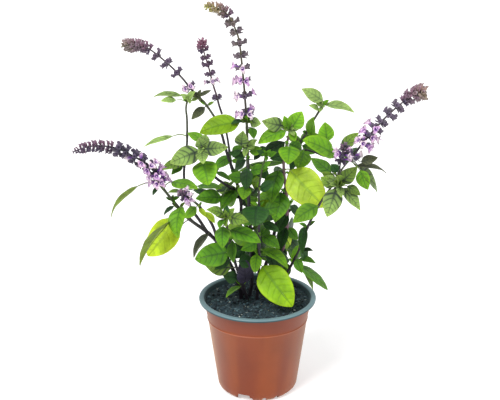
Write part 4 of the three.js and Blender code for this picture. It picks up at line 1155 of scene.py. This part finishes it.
# %% Sizes of the leaves
LEAF_SHARE = 0.56  # of a leaf's length, its full width
EDGE_ON = 0.2  # a leaf seen narrower than this share of its length is a slim, folded one
SLIM_SHARE = 0.3
LEAF_ARCH = 0.09
ARCHING = (0.1, 0.7)  # shares of the arch that leaves have
LEAF_FOLD = 0.1
FOLDING = (-0.5, 1.7)  # shares of the fold that leaves have
SWAY = 0.03  # of the length, how far a rib bows to a side
RIPPLE = 0.014  # of the length, how high the edge waves
RIPPLE_WAVES = (2, 3)
BASE_SHARE = 0.15
BENDS = [0, 4, -4, 8, -8, 12, -12, 16, -16, 21, -21, 26, -26, 32, -32, 38, -38]
TOUCH = 0.0001
TIP_DROOP = (0.02, 0.14)  # of the length
DROOP_START = 0.5  # share of the length from which the tip droops
TAPER = (0, 0.35)  # how much narrower the tip is than the pattern's
TAPER_START = 0.4
BROAD = 0.022  # a leaf as wide as this isn't narrower at its tip, but broader
BROAD_TAPER = -0.3
LEAF_LIGHT = (0.82, 1.18)  # how much darker or lighter a leaf is than its tint
LEAF_THICKNESS = 0.0004
FULLNESS = 1.1  # a soft blade is a little fuller than its stiff solid


def corner_tree(node):
    tree = kdtree.KDTree(len(node.data.vertices))
    for corner in node.data.vertices:
        tree.insert(corner.co, corner.index)
    tree.balance()
    return tree


def leaf_axes(base, tip, seen):
    """The blade's own axes: right, along and up, with its length and full width."""
    along = tip - base
    length = along.length
    along.normalize()
    facing = (EYE - base).normalized()
    facing = (facing - along * facing.dot(along)).normalized()
    raised = along.cross(facing)
    if raised.z < 0:
        raised.negate()
    width = max(seen, (SLIM_SHARE if seen < EDGE_ON * length else LEAF_SHARE) * length)
    tilt = math.acos(min(1, seen / width))
    up = facing * math.cos(tilt) + raised * math.sin(tilt)
    return along.cross(up), along, up, length, width


def past(start, level):
    """None up to a start along the leaf, then more and more, one at its tip."""
    return np.clip((level - start) / (1 - start), 0, 1) ** 2


def grown_leaf(base, tip, seen, tint, luck):
    """A copy of the leaf pattern from its base to its tip."""
    right, along, up, length, width = leaf_axes(base, tip, seen)
    x, y, z = leaf_flat.T
    edge = np.abs(x) * 2
    sway = luck.uniform(-SWAY, SWAY) * length
    waves = np.sin(2 * np.pi * (luck.uniform(*RIPPLE_WAVES) * y + luck.random()))
    ripple = RIPPLE * length * waves * edge ** 2
    ripple *= np.where(x > 0, 1, -1) * np.sin(np.pi * np.clip(y, 0, 1))
    height = luck.uniform(*ARCHING) * LEAF_ARCH * length * 4 * y * (1 - y)
    height += luck.uniform(*FOLDING) * LEAF_FOLD * width * edge ** 1.3
    height += z * length + ripple - luck.uniform(*TIP_DROOP) * length * past(DROOP_START, y)
    taper = luck.uniform(*TAPER) if width < BROAD else BROAD_TAPER
    x = x * (1 - taper * past(TAPER_START, y))
    places = (np.outer(x * width * FULLNESS + sway * np.sin(np.pi * y), right) + np.outer(y * length, along)
              + np.outer(height, up) + np.array(base))
    blade, vein, back, flush = LEAF_TINTS[tint]
    light = luck.uniform(*LEAF_LIGHT)
    blade = (*(min(1, c * light) for c in blade[:3]), flush)
    return copy_to(leaf_pattern, places, blade_tint=blade, vein_tint=vein,
                   back_tint=(*back[:3], flush))


# %% [markdown]
# A petiole joins the blade to its stem, and goes on under the blade as its rib. It leaves the stem upwards
# and bends over, so it is drawn as a smooth line, thick at the stem and fine at the end.

# %% Petiole and rib
PETIOLE_RADIUS = 0.0008
PETIOLE_RISE = 0.12  # of its length, how far its middle stands above the straight line
PETIOLE_TAPER = 0.8
LEAST_SHARE, FULL_LENGTH = 0.45, 0.06  # a short leaf's petiole is thinner, down to this share
RIB_PLACES = (0.2, 0.4, 0.6, 0.82)  # shares of the blade's length that the rib goes through
RIB_ARCH = 0.4  # the middle of the arching that leaves have
RIB_DEPTH = 0.0005


def petiole(root, base, tip, seen, tint):
    """A strand from the root on the stem to near the blade's tip."""
    _, along, up, length, _ = leaf_axes(base, tip, seen)
    rise = Vector((0, 0, PETIOLE_RISE * (base - root).length))
    places = [root, root.lerp(base, 0.5) + rise, base]
    for share in RIB_PLACES:
        arch = RIB_ARCH * LEAF_ARCH * length * 4 * share * (1 - share) - PUFF * length - RIB_DEPTH
        places.append(base + along * (share * length) + up * arch)
    run = smooth_run(places)
    size = PETIOLE_RADIUS * min(1, LEAST_SHARE + length / FULL_LENGTH)
    radii = [size * (1 - PETIOLE_TAPER * i / (len(run) - 1)) for i in range(len(run))]
    young = np.array(LEAF_TINTS[tint][2] if tint != "purple" else STEM_TINT)
    start = 0.6 * young + 0.4 * np.array(STEM_TINT)
    tints = [start + (young - start) * i / (len(run) - 1) for i in range(len(run))]
    return run, radii, tints


# %% [markdown]
# ## The far side
# The back of the plant carries as many leaves as the front: pairs at each joint of a stem, spread to the two
# sides and hanging a little. The same rule placed them on the solids; a leaf is grown here only where the
# solid has its tip.

# %% Rule of the far side
FAR_SPACING = 0.027
FAR_SPREAD = 0.65
FAR_LENGTH = (0.044, 0.03)
FAR_WIDTH = 0.5  # of the length
FAR_HANG = 0.3
FAR_PETIOLE = 0.2
FAR_FLOOR = 0.135
FAR_SWAY = 0.4
FAR_INWARD = 9
GOLDEN_ANGLE = 2.4
FAR_TINTS = ["mid", "dark", "bright", "mid", "bright", "dark", "fresh"]


def far_leaves(stem_name, stem, tree):
    """Root, base, tip and seen width of each leaf that the rule grows and the solid has."""
    points = [spot(*p) for p in stem["paths"][0][1]]
    total = lengths_along(points)[-1]
    top = stem["bushy"] * MM
    made = []
    for step in range(1, math.ceil(total / FAR_SPACING)):
        root, _ = walk(points, step * FAR_SPACING)
        if not FAR_FLOOR <= root.z <= top:
            continue
        share = (root.z - FAR_FLOOR) / (top - FAR_FLOOR)
        length = FAR_LENGTH[0] + share * (FAR_LENGTH[1] - FAR_LENGTH[0])
        sway = FAR_SWAY * math.sin(GOLDEN_ANGLE * (step + len("leafy_stem_" + stem_name)))
        for half in (-1, 1):
            turn = half * FAR_SPREAD + sway - FAR_INWARD * root.x
            way = Vector((math.sin(turn), math.cos(turn), 0))
            base = root + way * FAR_PETIOLE * length
            tip = root + way * length - Vector((0, 0, FAR_HANG * length))
            if tree.find(tip)[2] < TOUCH:
                made.append((root, base, tip, FAR_WIDTH * length))
    return made


# %% [markdown]
# ## The plant's shaded inside
# Between the stems hang leaves that are seen only in glimpses; their tints are mostly dark, which paints the
# shade inside the plant. They grow one at a time round each stem, each turned by the golden angle from the
# last, and only to the sides and the back. They are soft fillers that the solids leave out.

# %% Rule of the inner leaves
INNER_SPACING = 0.01
INNER_FLOOR = 0.15
INNER_TOP = 0.255
INNER_SIDE = 0.028  # how far out to the sides they grow
INNER_LENGTH = (0.03, 0.019)
INNER_SIZES = (0.8, 1.1)  # how much smaller or larger one may be
INNER_WIDTH = 0.6  # of the length
INNER_PETIOLE = 0.2
INNER_FRONT = 0.1  # how far towards the front one may point
INNER_RISE = (-0.5, 0.1)  # how far down or up
# Mostly dark tints, which paint the shade inside the plant.
INNER_TINTS = ["dark", "mid", "dark", "mid", "olive"]


def inner_leaves(stem, luck):
    """Root, base, tip and seen width of each inner leaf of a stem."""
    made = []
    turn = luck.uniform(0, 2 * math.pi)
    for _, points in stem["paths"]:
        places = [spot(*p) for p in points]
        for step in range(1, int(lengths_along(places)[-1] / INNER_SPACING)):
            root, _ = walk(places, step * INNER_SPACING)
            turn += GOLDEN_ANGLE
            way = Vector((math.sin(turn), math.cos(turn), luck.uniform(*INNER_RISE)))
            if not INNER_FLOOR <= root.z <= INNER_TOP or way.y < -INNER_FRONT or abs(root.x) > INNER_SIDE:
                continue
            share = (root.z - INNER_FLOOR) / (INNER_TOP - INNER_FLOOR)
            length = INNER_LENGTH[0] + share * (INNER_LENGTH[1] - INNER_LENGTH[0])
            length *= luck.uniform(*INNER_SIZES)
            way.normalize()
            made.append((root, root + way * INNER_PETIOLE * length, root + way * (1 + INNER_PETIOLE) * length,
                         INNER_WIDTH * length))
    return made


# %% [markdown]
# Where gaps are left, most of them low between the stems, single soft leaves close the plant. They are too
# thin and too much hidden for a solid, and are listed like the others under the stem that they grow on.

# %% Single leaves in the gaps
SOFT_BASE = 0.12  # of the way from the stem to the tip, where the blade begins
SOFT_LEAVES = {
    "tall": [(248, 152, 264, 150, 9, 4, "bright"), (248, 158, 229, 152, 9, 2, "dark"),
             (247, 133, 256, 129, 7, 2, "mid"), (249, 172, 268, 168, 10, 6, "mid")],
    "left": [(196, 207, 184, 218, 9, 2, "bright"), (184, 165, 171, 174, 7, 4, "mid")],
    "inner_right": [(284, 244, 277, 263, 13, 2, "dark"), (285, 236, 299, 250, 9, -6, "dark"),
                    (280, 260, 289, 277, 12, -4, "mid"), (287, 226, 298, 240, 9, 2, "mid"),
                    (287, 143, 303, 150, 10, -10, "mid")],
    "upper_right": [(301, 145, 318, 152, 11, -8, "mid")],
    "right": [(296, 257, 302, 273, 9, 6, "mid"), (300, 246, 306, 262, 8, -6, "dark")],
}


def soft_leaves(name, routes):
    """Root, base, tip, seen width and tint of a stem's single leaves."""
    made = []
    for bx, by, tx, ty, wide, reach, tint in SOFT_LEAVES.get(name, []):
        column, row, depth = nearest_on(routes, bx, by)[0]
        root, tip = spot(column, row, depth), spot(tx, ty, depth + reach)
        base = root.lerp(tip, SOFT_BASE)
        made.append((root, base, tip, wide * pixel_size(base), tint))
    return made


# %% [markdown]
# ## Young tips
# A growing tip ends in a rosette: each leaf stands a golden angle on from the last, and the inner ones are
# shorter and more upright. The rosette is turned up and towards the light in front.

# %% Rule of the rosettes
# Each: the seen column and row of its middle, the length of its outer leaves in pixels, its tint.
ROSETTES = {
    "tall": [(246, 146, 12, "slate"), (248, 121, 8, "olive")],
    "upper_left": [(203, 148, 12, "slate"), (199, 95, 9, "dusky")],
    "left": [(188, 98, 9, "pale"), (172, 200, 7, "mid")],
    "inner_right": [(288, 128, 11, "slate")],
    "upper_right": [(322, 104, 9, "slate")],
    "right": [(340, 185, 15, "slate"), (352, 160, 8, "dark")],
    "centre": [(266, 154, 9, "mid")],
    "front_left": [(226, 216, 12, "olive")],
}
ROSETTE_LEAVES = 7
ROSETTE_LIFT = 0.8  # how much it looks up rather than forward
ROSETTE_RISE = (0.1, 0.6)  # how upright the outermost leaf is, and how much more the innermost
INNER_OUT, INNER_SHORT = 0.5, 0.62  # how much less the innermost leaf stands out, and how much shorter it is
ROSETTE_START = 0.06  # of its length, how far off the middle a leaf begins
ROSETTE_WIDTH = 0.5


def rosette(centre, size, tint, luck):
    facing = ((EYE - centre).normalized() + Vector((0, 0, ROSETTE_LIFT))).normalized()
    aside = facing.cross(Vector((1, 0, 0))).normalized()
    start, made = luck.uniform(*ANY_TURN), []
    for k in range(ROSETTE_LEAVES):
        inward = k / (ROSETTE_LEAVES - 1)
        out = Matrix.Rotation(start + GOLDEN_ANGLE * k, 3, facing) @ aside
        rise = ROSETTE_RISE[0] + ROSETTE_RISE[1] * inward
        way = (out * (1 - INNER_OUT * inward) + facing * rise).normalized()
        length = size * (1 - INNER_SHORT * inward) * luck.uniform(0.9, 1.1)
        base = centre + way * ROSETTE_START * length
        made.append(grown_leaf(base, base + way * length, ROSETTE_WIDTH * length, tint, luck))
    return made


# %% [markdown]
# ## Grow the leafy stems
# Each stem is two pieces: its bark with all petioles, and its blades. The bark swells at every joint. In the
# angle above a leaf basil grows a pair of tiny young leaves; here every third leaf has one.

# %% The bark of one stem
SWELLING = 0.25
SWELLING_REACH = 0.003
STEM_FULLNESS = 1.15  # bark swells a little over its solid
ROOT_DEPTH = 0.02
GREEN_START, GREEN_REACH = 0.55, 0.45  # where along a stem it starts to turn green, and over how much of it
GREEN_SHARE = 0.35  # how green its end gets


def stem_strand(radii, points, joints, base_tint, end_tint, fullness, rooted):
    """A strand along a path, swollen at the joints and greener at its end."""
    places = [spot(*p) for p in points]
    if rooted:
        places.insert(0, Vector((places[0].x, places[0].y, SOIL_LEVEL - ROOT_DEPTH)))
    run = smooth_run(places)
    sizes, tints = [], []
    for i, place in enumerate(run):
        share = i / (len(run) - 1)
        gap = min(((place - joint).length for joint in joints), default=1)
        swell = 1 + SWELLING * math.exp(-((gap / SWELLING_REACH) ** 2))
        sizes.append(fullness * (radii[0] + share * (radii[1] - radii[0])) * MM * swell)
        young = max(0, share - GREEN_START) / GREEN_REACH
        change = np.array(end_tint) - np.array(base_tint)
        tints.append(np.array(base_tint) + change * GREEN_SHARE * young)
    return run, sizes, tints


# %% A stem's leaves
BUD_LEAF = (0.006, 0.01)  # length of the young leaves at a joint
BUD_RISE = (0.5, 1.1)
BUD_START = 0.0012  # how far off the joint's middle they begin
BUD_WIDTH = 0.4
BUD_TINTS = ["bright", "mid", "olive"]
BUD_EVERY = 3  # joints


def young_pair(root, luck):
    """Two tiny leaves above a joint, standing up and out."""
    made = []
    turn = luck.uniform(0, math.pi)
    for half in (0, math.pi):
        way = Vector((math.cos(turn + half), math.sin(turn + half), luck.uniform(*BUD_RISE))).normalized()
        length = luck.uniform(*BUD_LEAF)
        base = root + way * BUD_START
        made.append(grown_leaf(base, base + way * length, BUD_WIDTH * length, luck.choice(BUD_TINTS), luck))
    return made


def listed_leaves(stem, routes, tree):
    """Root, base, tip, seen width and tint of each listed leaf, and how many of them the solid has."""
    made, found = [], 0
    for bx, by, tx, ty, wide, reach, tint in stem["leaves"]:
        column, row, depth = nearest_on(routes, bx, by)[0]
        bend = next((b for b in BENDS if tree.find(spot(tx, ty, depth + reach + b))[2] < TOUCH), None)
        found += bend is not None
        full = reach + (bend or 0)
        base = spot(bx, by, depth + BASE_SHARE * full)
        made.append((spot(column, row, depth), base, spot(tx, ty, depth + full), wide * pixel_size(base),
                     tint))
    return made, found


def grow_leaves(name, stem, luck):
    """A stem's blades and petioles, and the joints where its leaves stand."""
    tree = corner_tree(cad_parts["leafy_stem_" + name])
    routes = [points for _, points in stem["paths"]]
    blades, strands = [], []

    def grow(root, base, tip, seen, tint):
        blades.append(grown_leaf(base, tip, seen, tint, luck))
        strands.append(petiole(root, base, tip, seen, tint))

    listed, found = listed_leaves(stem, routes, tree)
    for leaf in listed:
        grow(*leaf)
    far = far_leaves(name, stem, tree)
    for leaf in far:
        grow(*leaf, luck.choice(FAR_TINTS))
    inner = inner_leaves(stem, luck)
    for leaf in inner:
        grow(*leaf, luck.choice(INNER_TINTS))
    for leaf in soft_leaves(name, routes):
        grow(*leaf)
    joints = [leaf[0] for leaf in listed + far]
    for root in joints[::BUD_EVERY]:
        blades.extend(young_pair(root, luck))
    for column, row, size, tint in ROSETTES[name]:
        centre = spot(*nearest_on(routes, column, row)[0])
        blades.extend(rosette(centre, size * pixel_size(centre), tint, luck))
    print(f"{name} stem: {found} of {len(listed)} leaves found in the solid, {len(far)} on the far side, "
          f"{len(inner)} inside")
    return blades, strands, joints


# %% Bark and blades of every stem
def grow_stem(name, stem):
    blades, strands, joints = grow_leaves(name, stem, random.Random("leafy " + name))
    bark_tint = PINK_STEM_TINT if name == "inner_right" else STEM_TINT
    fullness = STEM_FULLNESS * stem.get("slim", 1)
    for i, (radii, points) in enumerate(stem["paths"]):
        strands.append(stem_strand(radii, points, joints, bark_tint, GREEN_STEM_TINT, fullness, i == 0))
    node = "leafy_stem_" + name
    finished(tubes("bark_" + name, strands), "stem", [node], stem_bark)

    leaves = joined("leaves_" + name, blades)
    apply_modifier(leaves, "SOLIDIFY", thickness=LEAF_THICKNESS, offset=0, material_offset=1)
    apply_modifier(leaves, "SUBSURF", levels=1, render_levels=1)
    smooth(leaves)
    finished(leaves, "leaf", [node], leaf_face, leaf_back)


for name, stem in STEMS.items():
    grow_stem(name, stem)

# %% [markdown]
# ## Patterns of the flowers
# A basil flower sits in a calyx, a small cup with one broad upper lip and pointed teeth below. Six of them
# stand in a whorl over two bracts. The open flower is a short tube with a four-lobed upper lip and one lower
# lip, from which stamens hang out. Each is drawn up as a round cup and then pushed into its lips. Its
# measures are shares of its length, which is one here.

# %% The calyx
CUP_SIDES = 8
LIP_LEVEL = 0.95  # what stands above this is the lip
UPPER_LIP_PULL, UPPER_LIP_BREADTH = (0, 0.16, 0.18), 1.35
LOWER_TEETH_PULL = (0, -0.02, 0.2)
calyx_profile = [(0.03, 0), (0.2, 0.14), (0.3, 0.48), (0.26, 0.82), (0.36, 1), (0.2, 0.8), (0.02, 0.6)]
calyx_pattern = turned("calyx_pattern", calyx_profile, CUP_SIDES, math.pi / CUP_SIDES)
bpy.ops.object.mode_set(mode="EDIT")
select_where(calyx_pattern, lambda c: c.co.z > LIP_LEVEL and c.co.y > 0.1)
bpy.ops.transform.translate(value=UPPER_LIP_PULL)
bpy.ops.transform.resize(value=(UPPER_LIP_BREADTH, 1, 1), center_override=(0, 0, 0))
select_where(calyx_pattern, lambda c: c.co.z > LIP_LEVEL and c.co.y < -0.2)
bpy.ops.transform.translate(value=LOWER_TEETH_PULL)
edit_done()
calyx_shape = corners_of(calyx_pattern)
calyx_lip = np.clip((calyx_shape[:, 2] - 0.6) / 0.5, 0, 1)

# %% The open flower
PETAL_SIDES = 10
LOWER_PETAL_PULL = (0, -0.22, 0.06)
UPPER_PETALS_PULL = (0, 0.12, 0.02)
BETWEEN_PETALS = 0.62  # how far the lip's edge comes in between two petals
flower_profile = [(0.03, 0), (0.1, 0.1), (0.13, 0.5), (0.27, 0.78), (0.5, 1), (0.25, 0.84), (0.1, 0.6),
                  (0.02, 0.45)]
flower_pattern = turned("flower_pattern", flower_profile, PETAL_SIDES)
flower_shape = corners_of(flower_pattern)
reach = np.hypot(flower_shape[:, 0], flower_shape[:, 1])
flower_lip = np.clip(1.9 * reach, 0, 1)  # none in the throat and along the tube, full at the petals' edge


def corner_number(corner):
    """Which of the ring's corners it is, counted from +X."""
    return round(math.degrees(math.atan2(corner.co.y, corner.co.x)) / (360 / PETAL_SIDES))


bpy.ops.object.mode_set(mode="EDIT")
select_where(flower_pattern, lambda c: c.co.z > LIP_LEVEL and c.co.y < -0.3)
bpy.ops.transform.translate(value=LOWER_PETAL_PULL)
select_where(flower_pattern, lambda c: c.co.z > LIP_LEVEL and c.co.y > 0.2)
bpy.ops.transform.translate(value=UPPER_PETALS_PULL)
select_where(flower_pattern, lambda c: c.co.z > LIP_LEVEL and corner_number(c) % 2)
bpy.ops.transform.resize(value=(BETWEEN_PETALS, BETWEEN_PETALS, 1), center_override=(0, 0, 0))
edit_done()
flower_shape = corners_of(flower_pattern)

# %% The bract
BRACT_ROWS = [0.3, 0.95, 1, 0.7, 0.05]  # share of the full width at each row
BRACT_KEEL = 0.1  # how far its middle line lies below its edges
BRACT_THICKNESS = 0.08
bract_pattern = flat_grid("bract_pattern", 2, len(BRACT_ROWS) - 1)
bpy.ops.object.mode_set(mode="EDIT")
for row, share in enumerate(BRACT_ROWS):
    select_where(bract_pattern, lambda c: c.index // 3 == row)
    bpy.ops.transform.resize(value=(share, 1, 1), center_override=(0, 0, 0))
select_where(bract_pattern, lambda c: c.index % 3 == 1)
bpy.ops.transform.translate(value=(0, 0, -BRACT_KEEL))
edit_done()
apply_modifier(bract_pattern, "SOLIDIFY", thickness=BRACT_THICKNESS, offset=0)
bract_shape = corners_of(bract_pattern)
bract_lip = np.clip(bract_shape[:, 1], 0, 1) ** 2
print("flower patterns:", [len(p.data.polygons) for p in (calyx_pattern, flower_pattern, bract_pattern)])

# %% [markdown]
# ## Grow the flower spikes
# On the real plant the spike's axis is a fine square stem; a thin tube is enough here. Along it stand the
# whorls: on the lower ones some calyces hold an open flower, and towards the end the whorls crowd into a
# dense head of unopened calyces and pointed bracts.

# %% Sizes of a spike
CALYX_LENGTH = 0.0064
CALYX_SIZES = (0.85, 1.05)  # how much smaller or larger one may be
FLOWER_LENGTH = 0.0105
FLOWER_WIDTH = 0.0078
PER_WHORL = 6
WHORL_JITTER = 0.15  # radians
CALYX_LEAN = (0.0, 0.35)  # how far a calyx leans on along the spike
WHORL_PLUM = (0, 0.5)  # how plum a calyx may be
WHORL_CHANGE = 0.4  # how far the topmost whorl's tint gets towards the head's
BRACT_SIZE, BRACT_BREADTH = 0.95, 0.7  # of a calyx's length, and of the pattern's width
BRACT_HANG, BRACT_DROP = 0.25, 0.001
BRACT_DARK = 0.5
RACHIS_RADIUS = 0.0013
RACHIS_TAPER, RACHIS_CHANGE = 0.5, 0.5  # how much thinner and nearer to the head's tint its end is
PER_RING = 5
HEAD_STEPS = (0.0038, 0.0026)  # between the head's rings, at its foot and at its end
HEAD_ROUND = 0.3  # how much of the head's length rounds off to its end
BUD_SIZES = (0.85, 1.1)
BUD_BREADTH = 0.72  # a bud's width beside an open calyx's
RING_JITTER = 0.2  # radians
BUD_LEAN = (-0.05, 0.4)
PINK_ABOVE, PINK_CHANCE = 0.5, (0, 0.15)  # how much pinker a bud is that faces up, and any bud
HEAD_BRACT_SIZE, HEAD_BRACT_BREADTH = 0.95, 0.42
HEAD_BRACT_TURN, HEAD_BRACT_RISE = 0.8, 0.5
HEAD_BRACT_START, HEAD_BRACT_LEAN = 0.3, 0.5
HEAD_BRACT_PALE = 0.6
TO_LIGHT = 0.4  # how much the open flowers turn to the light in front
STAMEN_RADIUS = 0.00016
STAMEN_COUNT = 4
STAMEN_LENGTH = (0.002, 0.0042)  # outside the mouth
STAMEN_INSIDE = 0.003
STAMEN_SPREAD = (0.5, 0.35)  # to the sides, and up or down
STAMEN_BEND = 0.0006
STAMEN_END = 2.6  # how much thicker the end is than the thread
PETAL_TINTS = [paint(232, 198, 224), paint(240, 216, 230), paint(222, 182, 222), paint(244, 228, 232)]
STAMEN_TINT = paint(230, 208, 232)


# %% Helpers for flowers
def posed(shape, at, out, up, size, wide=1.0):
    """A pattern whose +Z points out and +Y up, at a place and a size."""
    up = (up - out * up.dot(out)).normalized()
    axes = np.array([out.cross(up) * -1, up, out])
    return (shape * np.array([size * wide, size * wide, size])) @ axes + np.array(at)


def around(ahead, angle):
    across = ahead.cross(Vector((0, 1, 0))).normalized()
    return Matrix.Rotation(angle, 3, ahead) @ across


def bract(at, out, ahead, size, wide, tint):
    """A bract whose own +Y runs out and +Z ahead."""
    side = out.cross(ahead).normalized()
    face = side.cross(out).normalized()
    axes = np.array([side * size * wide, out * size, face * size])
    return copy_to(bract_pattern, bract_shape @ axes + np.array(at), tint=tint, lip=bract_lip)


def stamens(mouth, out, up, luck):
    """Fine threads that hang out of a flower's mouth."""
    made = []
    for _ in range(STAMEN_COUNT):
        side = out.cross(up).normalized()
        aside, above = (luck.uniform(-most, most) for most in STAMEN_SPREAD)
        way = (out + side * aside + up * above).normalized()
        start = mouth - out * STAMEN_INSIDE
        end = mouth + way * luck.uniform(*STAMEN_LENGTH)
        middle = start.lerp(end, 0.6) + up * STAMEN_BEND
        run = smooth_run([start, middle, end])[::2]
        sizes = [STAMEN_RADIUS] * len(run)
        sizes[-1] *= STAMEN_END
        made.append((run, sizes, [STAMEN_TINT] * len(run)))
    return made


def mixed(a, b, share):
    return tuple(p + (q - p) * share for p, q in zip(a, b))


def ring_angle(k, step, count):
    """Where the k-th of a ring stands; each ring is turned by half a gap from the last."""
    return 2 * math.pi * (k + 0.5 * (step % 2)) / count


# %% One whorl
def whorl(at, ahead, step, flowers, share, tint, luck):
    """Calyces, flowers and stamens round one joint, at a share of their full size."""
    cups, blooms, threads = [], [], []
    opened = luck.sample(range(PER_WHORL), flowers)
    for k in range(PER_WHORL):
        out = around(ahead, ring_angle(k, step, PER_WHORL) + luck.uniform(-WHORL_JITTER, WHORL_JITTER))
        axis = (out + ahead * luck.uniform(*CALYX_LEAN)).normalized()
        size = share * CALYX_LENGTH * luck.uniform(*CALYX_SIZES)
        foot = at + out * 0.5 * RACHIS_RADIUS
        shade = mixed(tint, CALYX_TINTS["plum"], luck.uniform(*WHORL_PLUM))
        cups.append(copy_to(calyx_pattern, posed(calyx_shape, foot, axis, ahead, size), tint=shade,
                            lip=calyx_lip))
        if k in opened:
            wide, long = FLOWER_WIDTH / FLOWER_LENGTH, share * FLOWER_LENGTH
            open_way = (axis + (EYE - at).normalized() * TO_LIGHT).normalized()
            blooms.append(copy_to(flower_pattern, posed(flower_shape, foot, open_way, ahead, long, wide),
                                  tint=luck.choice(PETAL_TINTS), lip=flower_lip))
            threads += stamens(foot + open_way * long, open_way, ahead, luck)
    for k in range(2):
        out = around(ahead, math.pi * k + 0.5 * math.pi * (step % 2))
        down = (out - ahead * BRACT_HANG).normalized()
        cups.append(bract(at - ahead * BRACT_DROP, down, ahead, share * CALYX_LENGTH * BRACT_SIZE,
                          BRACT_BREADTH, mixed(tint, CALYX_TINTS["ink"], BRACT_DARK)))
    return cups, blooms, threads


# %% One ring of a head
def head_ring(at, ahead, step, radius, tint, luck):
    """Buds that stand out all round; those that face up are pinker, and those that hang are duller."""
    made = []
    for k in range(PER_RING):
        out = around(ahead, ring_angle(k, step, PER_RING) + luck.uniform(-RING_JITTER, RING_JITTER))
        axis = (out + ahead * luck.uniform(*BUD_LEAN)).normalized()
        pink = max(0, out.z) * PINK_ABOVE + luck.uniform(*PINK_CHANCE)
        shade = mixed(tint, CALYX_TINTS["rose"], pink)
        size = radius * luck.uniform(*BUD_SIZES)
        made.append(copy_to(calyx_pattern, posed(calyx_shape, at, axis, ahead, size, BUD_BREADTH), tint=shade,
                            lip=calyx_lip))
    for k in range(2):
        out = around(ahead, math.pi * k + HEAD_BRACT_TURN * step)
        out = (out + Vector((0, 0, HEAD_BRACT_RISE))).normalized()
        pale = mixed(CALYX_TINTS["rose"], CALYX_TINTS["mauve"], luck.random())
        made.append(bract(at + out * HEAD_BRACT_START * radius, (out + ahead * HEAD_BRACT_LEAN).normalized(),
                          ahead, HEAD_BRACT_SIZE * radius, HEAD_BRACT_BREADTH,
                          mixed(shade, pale, HEAD_BRACT_PALE)))
    return made


# %% Axis, whorls and head of one spike
def axis_tube(name, run, tint):
    """A spike's axis, which gets thinner and nearer to the head's tint along its way."""
    shares = [i / (len(run) - 1) for i in range(len(run))]
    return tubes("axis_" + name, [(run, [RACHIS_RADIUS * (1 - RACHIS_TAPER * share) for share in shares],
                                   [mixed(STEM_TINT, tint, RACHIS_CHANGE * share) for share in shares])])


def grow_spike(name, layout):
    luck = random.Random("spike " + name)
    node = "flower_spike_" + name
    points = layout["points"]
    run = smooth_run([spot(*p) for p in points])
    marks = lengths_along(run)

    def distance_to(column, row):
        part = nearest_on([points], column, row)[2] * RUN_STEPS
        return float(np.interp(part, range(len(marks)), marks))

    lower, upper, end = (CALYX_TINTS[t] for t in layout["tints"])
    cups, blooms, threads = [], [], []
    for step, (column, row, flowers) in enumerate(layout["whorls"]):
        at, ahead = walk(run, distance_to(column, row))
        tint = mixed(lower, upper, WHORL_CHANGE * step / len(layout["whorls"]))
        made = whorl(at, ahead, step, flowers, layout.get("size", 1), tint, luck)
        cups += made[0]
        blooms += made[1]
        threads += made[2]
    (column, row), (thick, thin) = layout["head"]
    start = distance_to(column, row)
    distance, step = start, 0
    while distance < marks[-1]:
        share = (distance - start) / (marks[-1] - start)
        at, ahead = walk(run, distance)
        tint = mixed(lower, upper, min(1, 2 * share)) if share < 0.5 else mixed(upper, end, 2 * share - 1)
        radius = (thick + share * (thin - thick)) * min(1, math.sqrt((1 - share) / HEAD_ROUND + 0.1))
        cups += head_ring(at, ahead, step, radius * MM, tint, luck)
        distance += HEAD_STEPS[0] + share * (HEAD_STEPS[1] - HEAD_STEPS[0])
        step += 1

    finished(axis_tube(name, run, upper), "stem", [node], stem_bark)
    calyces = joined("calyces_" + name, cups)
    smooth(calyces)
    finished(calyces, "calyx", [node], calyx_finish)
    if blooms:
        fine = tubes("threads", threads)
        mark(fine, "lip", np.ones(len(fine.data.vertices)))
        flowers = joined("flowers_" + name, blooms + [fine])
        smooth(flowers)
        finished(flowers, "petal", [node], petal_finish)


for name, layout in SPIKES.items():
    grow_spike(name, layout)

# %% Put the patterns away
for pattern in (leaf_pattern, calyx_pattern, flower_pattern, bract_pattern):
    bpy.data.objects.remove(pattern)
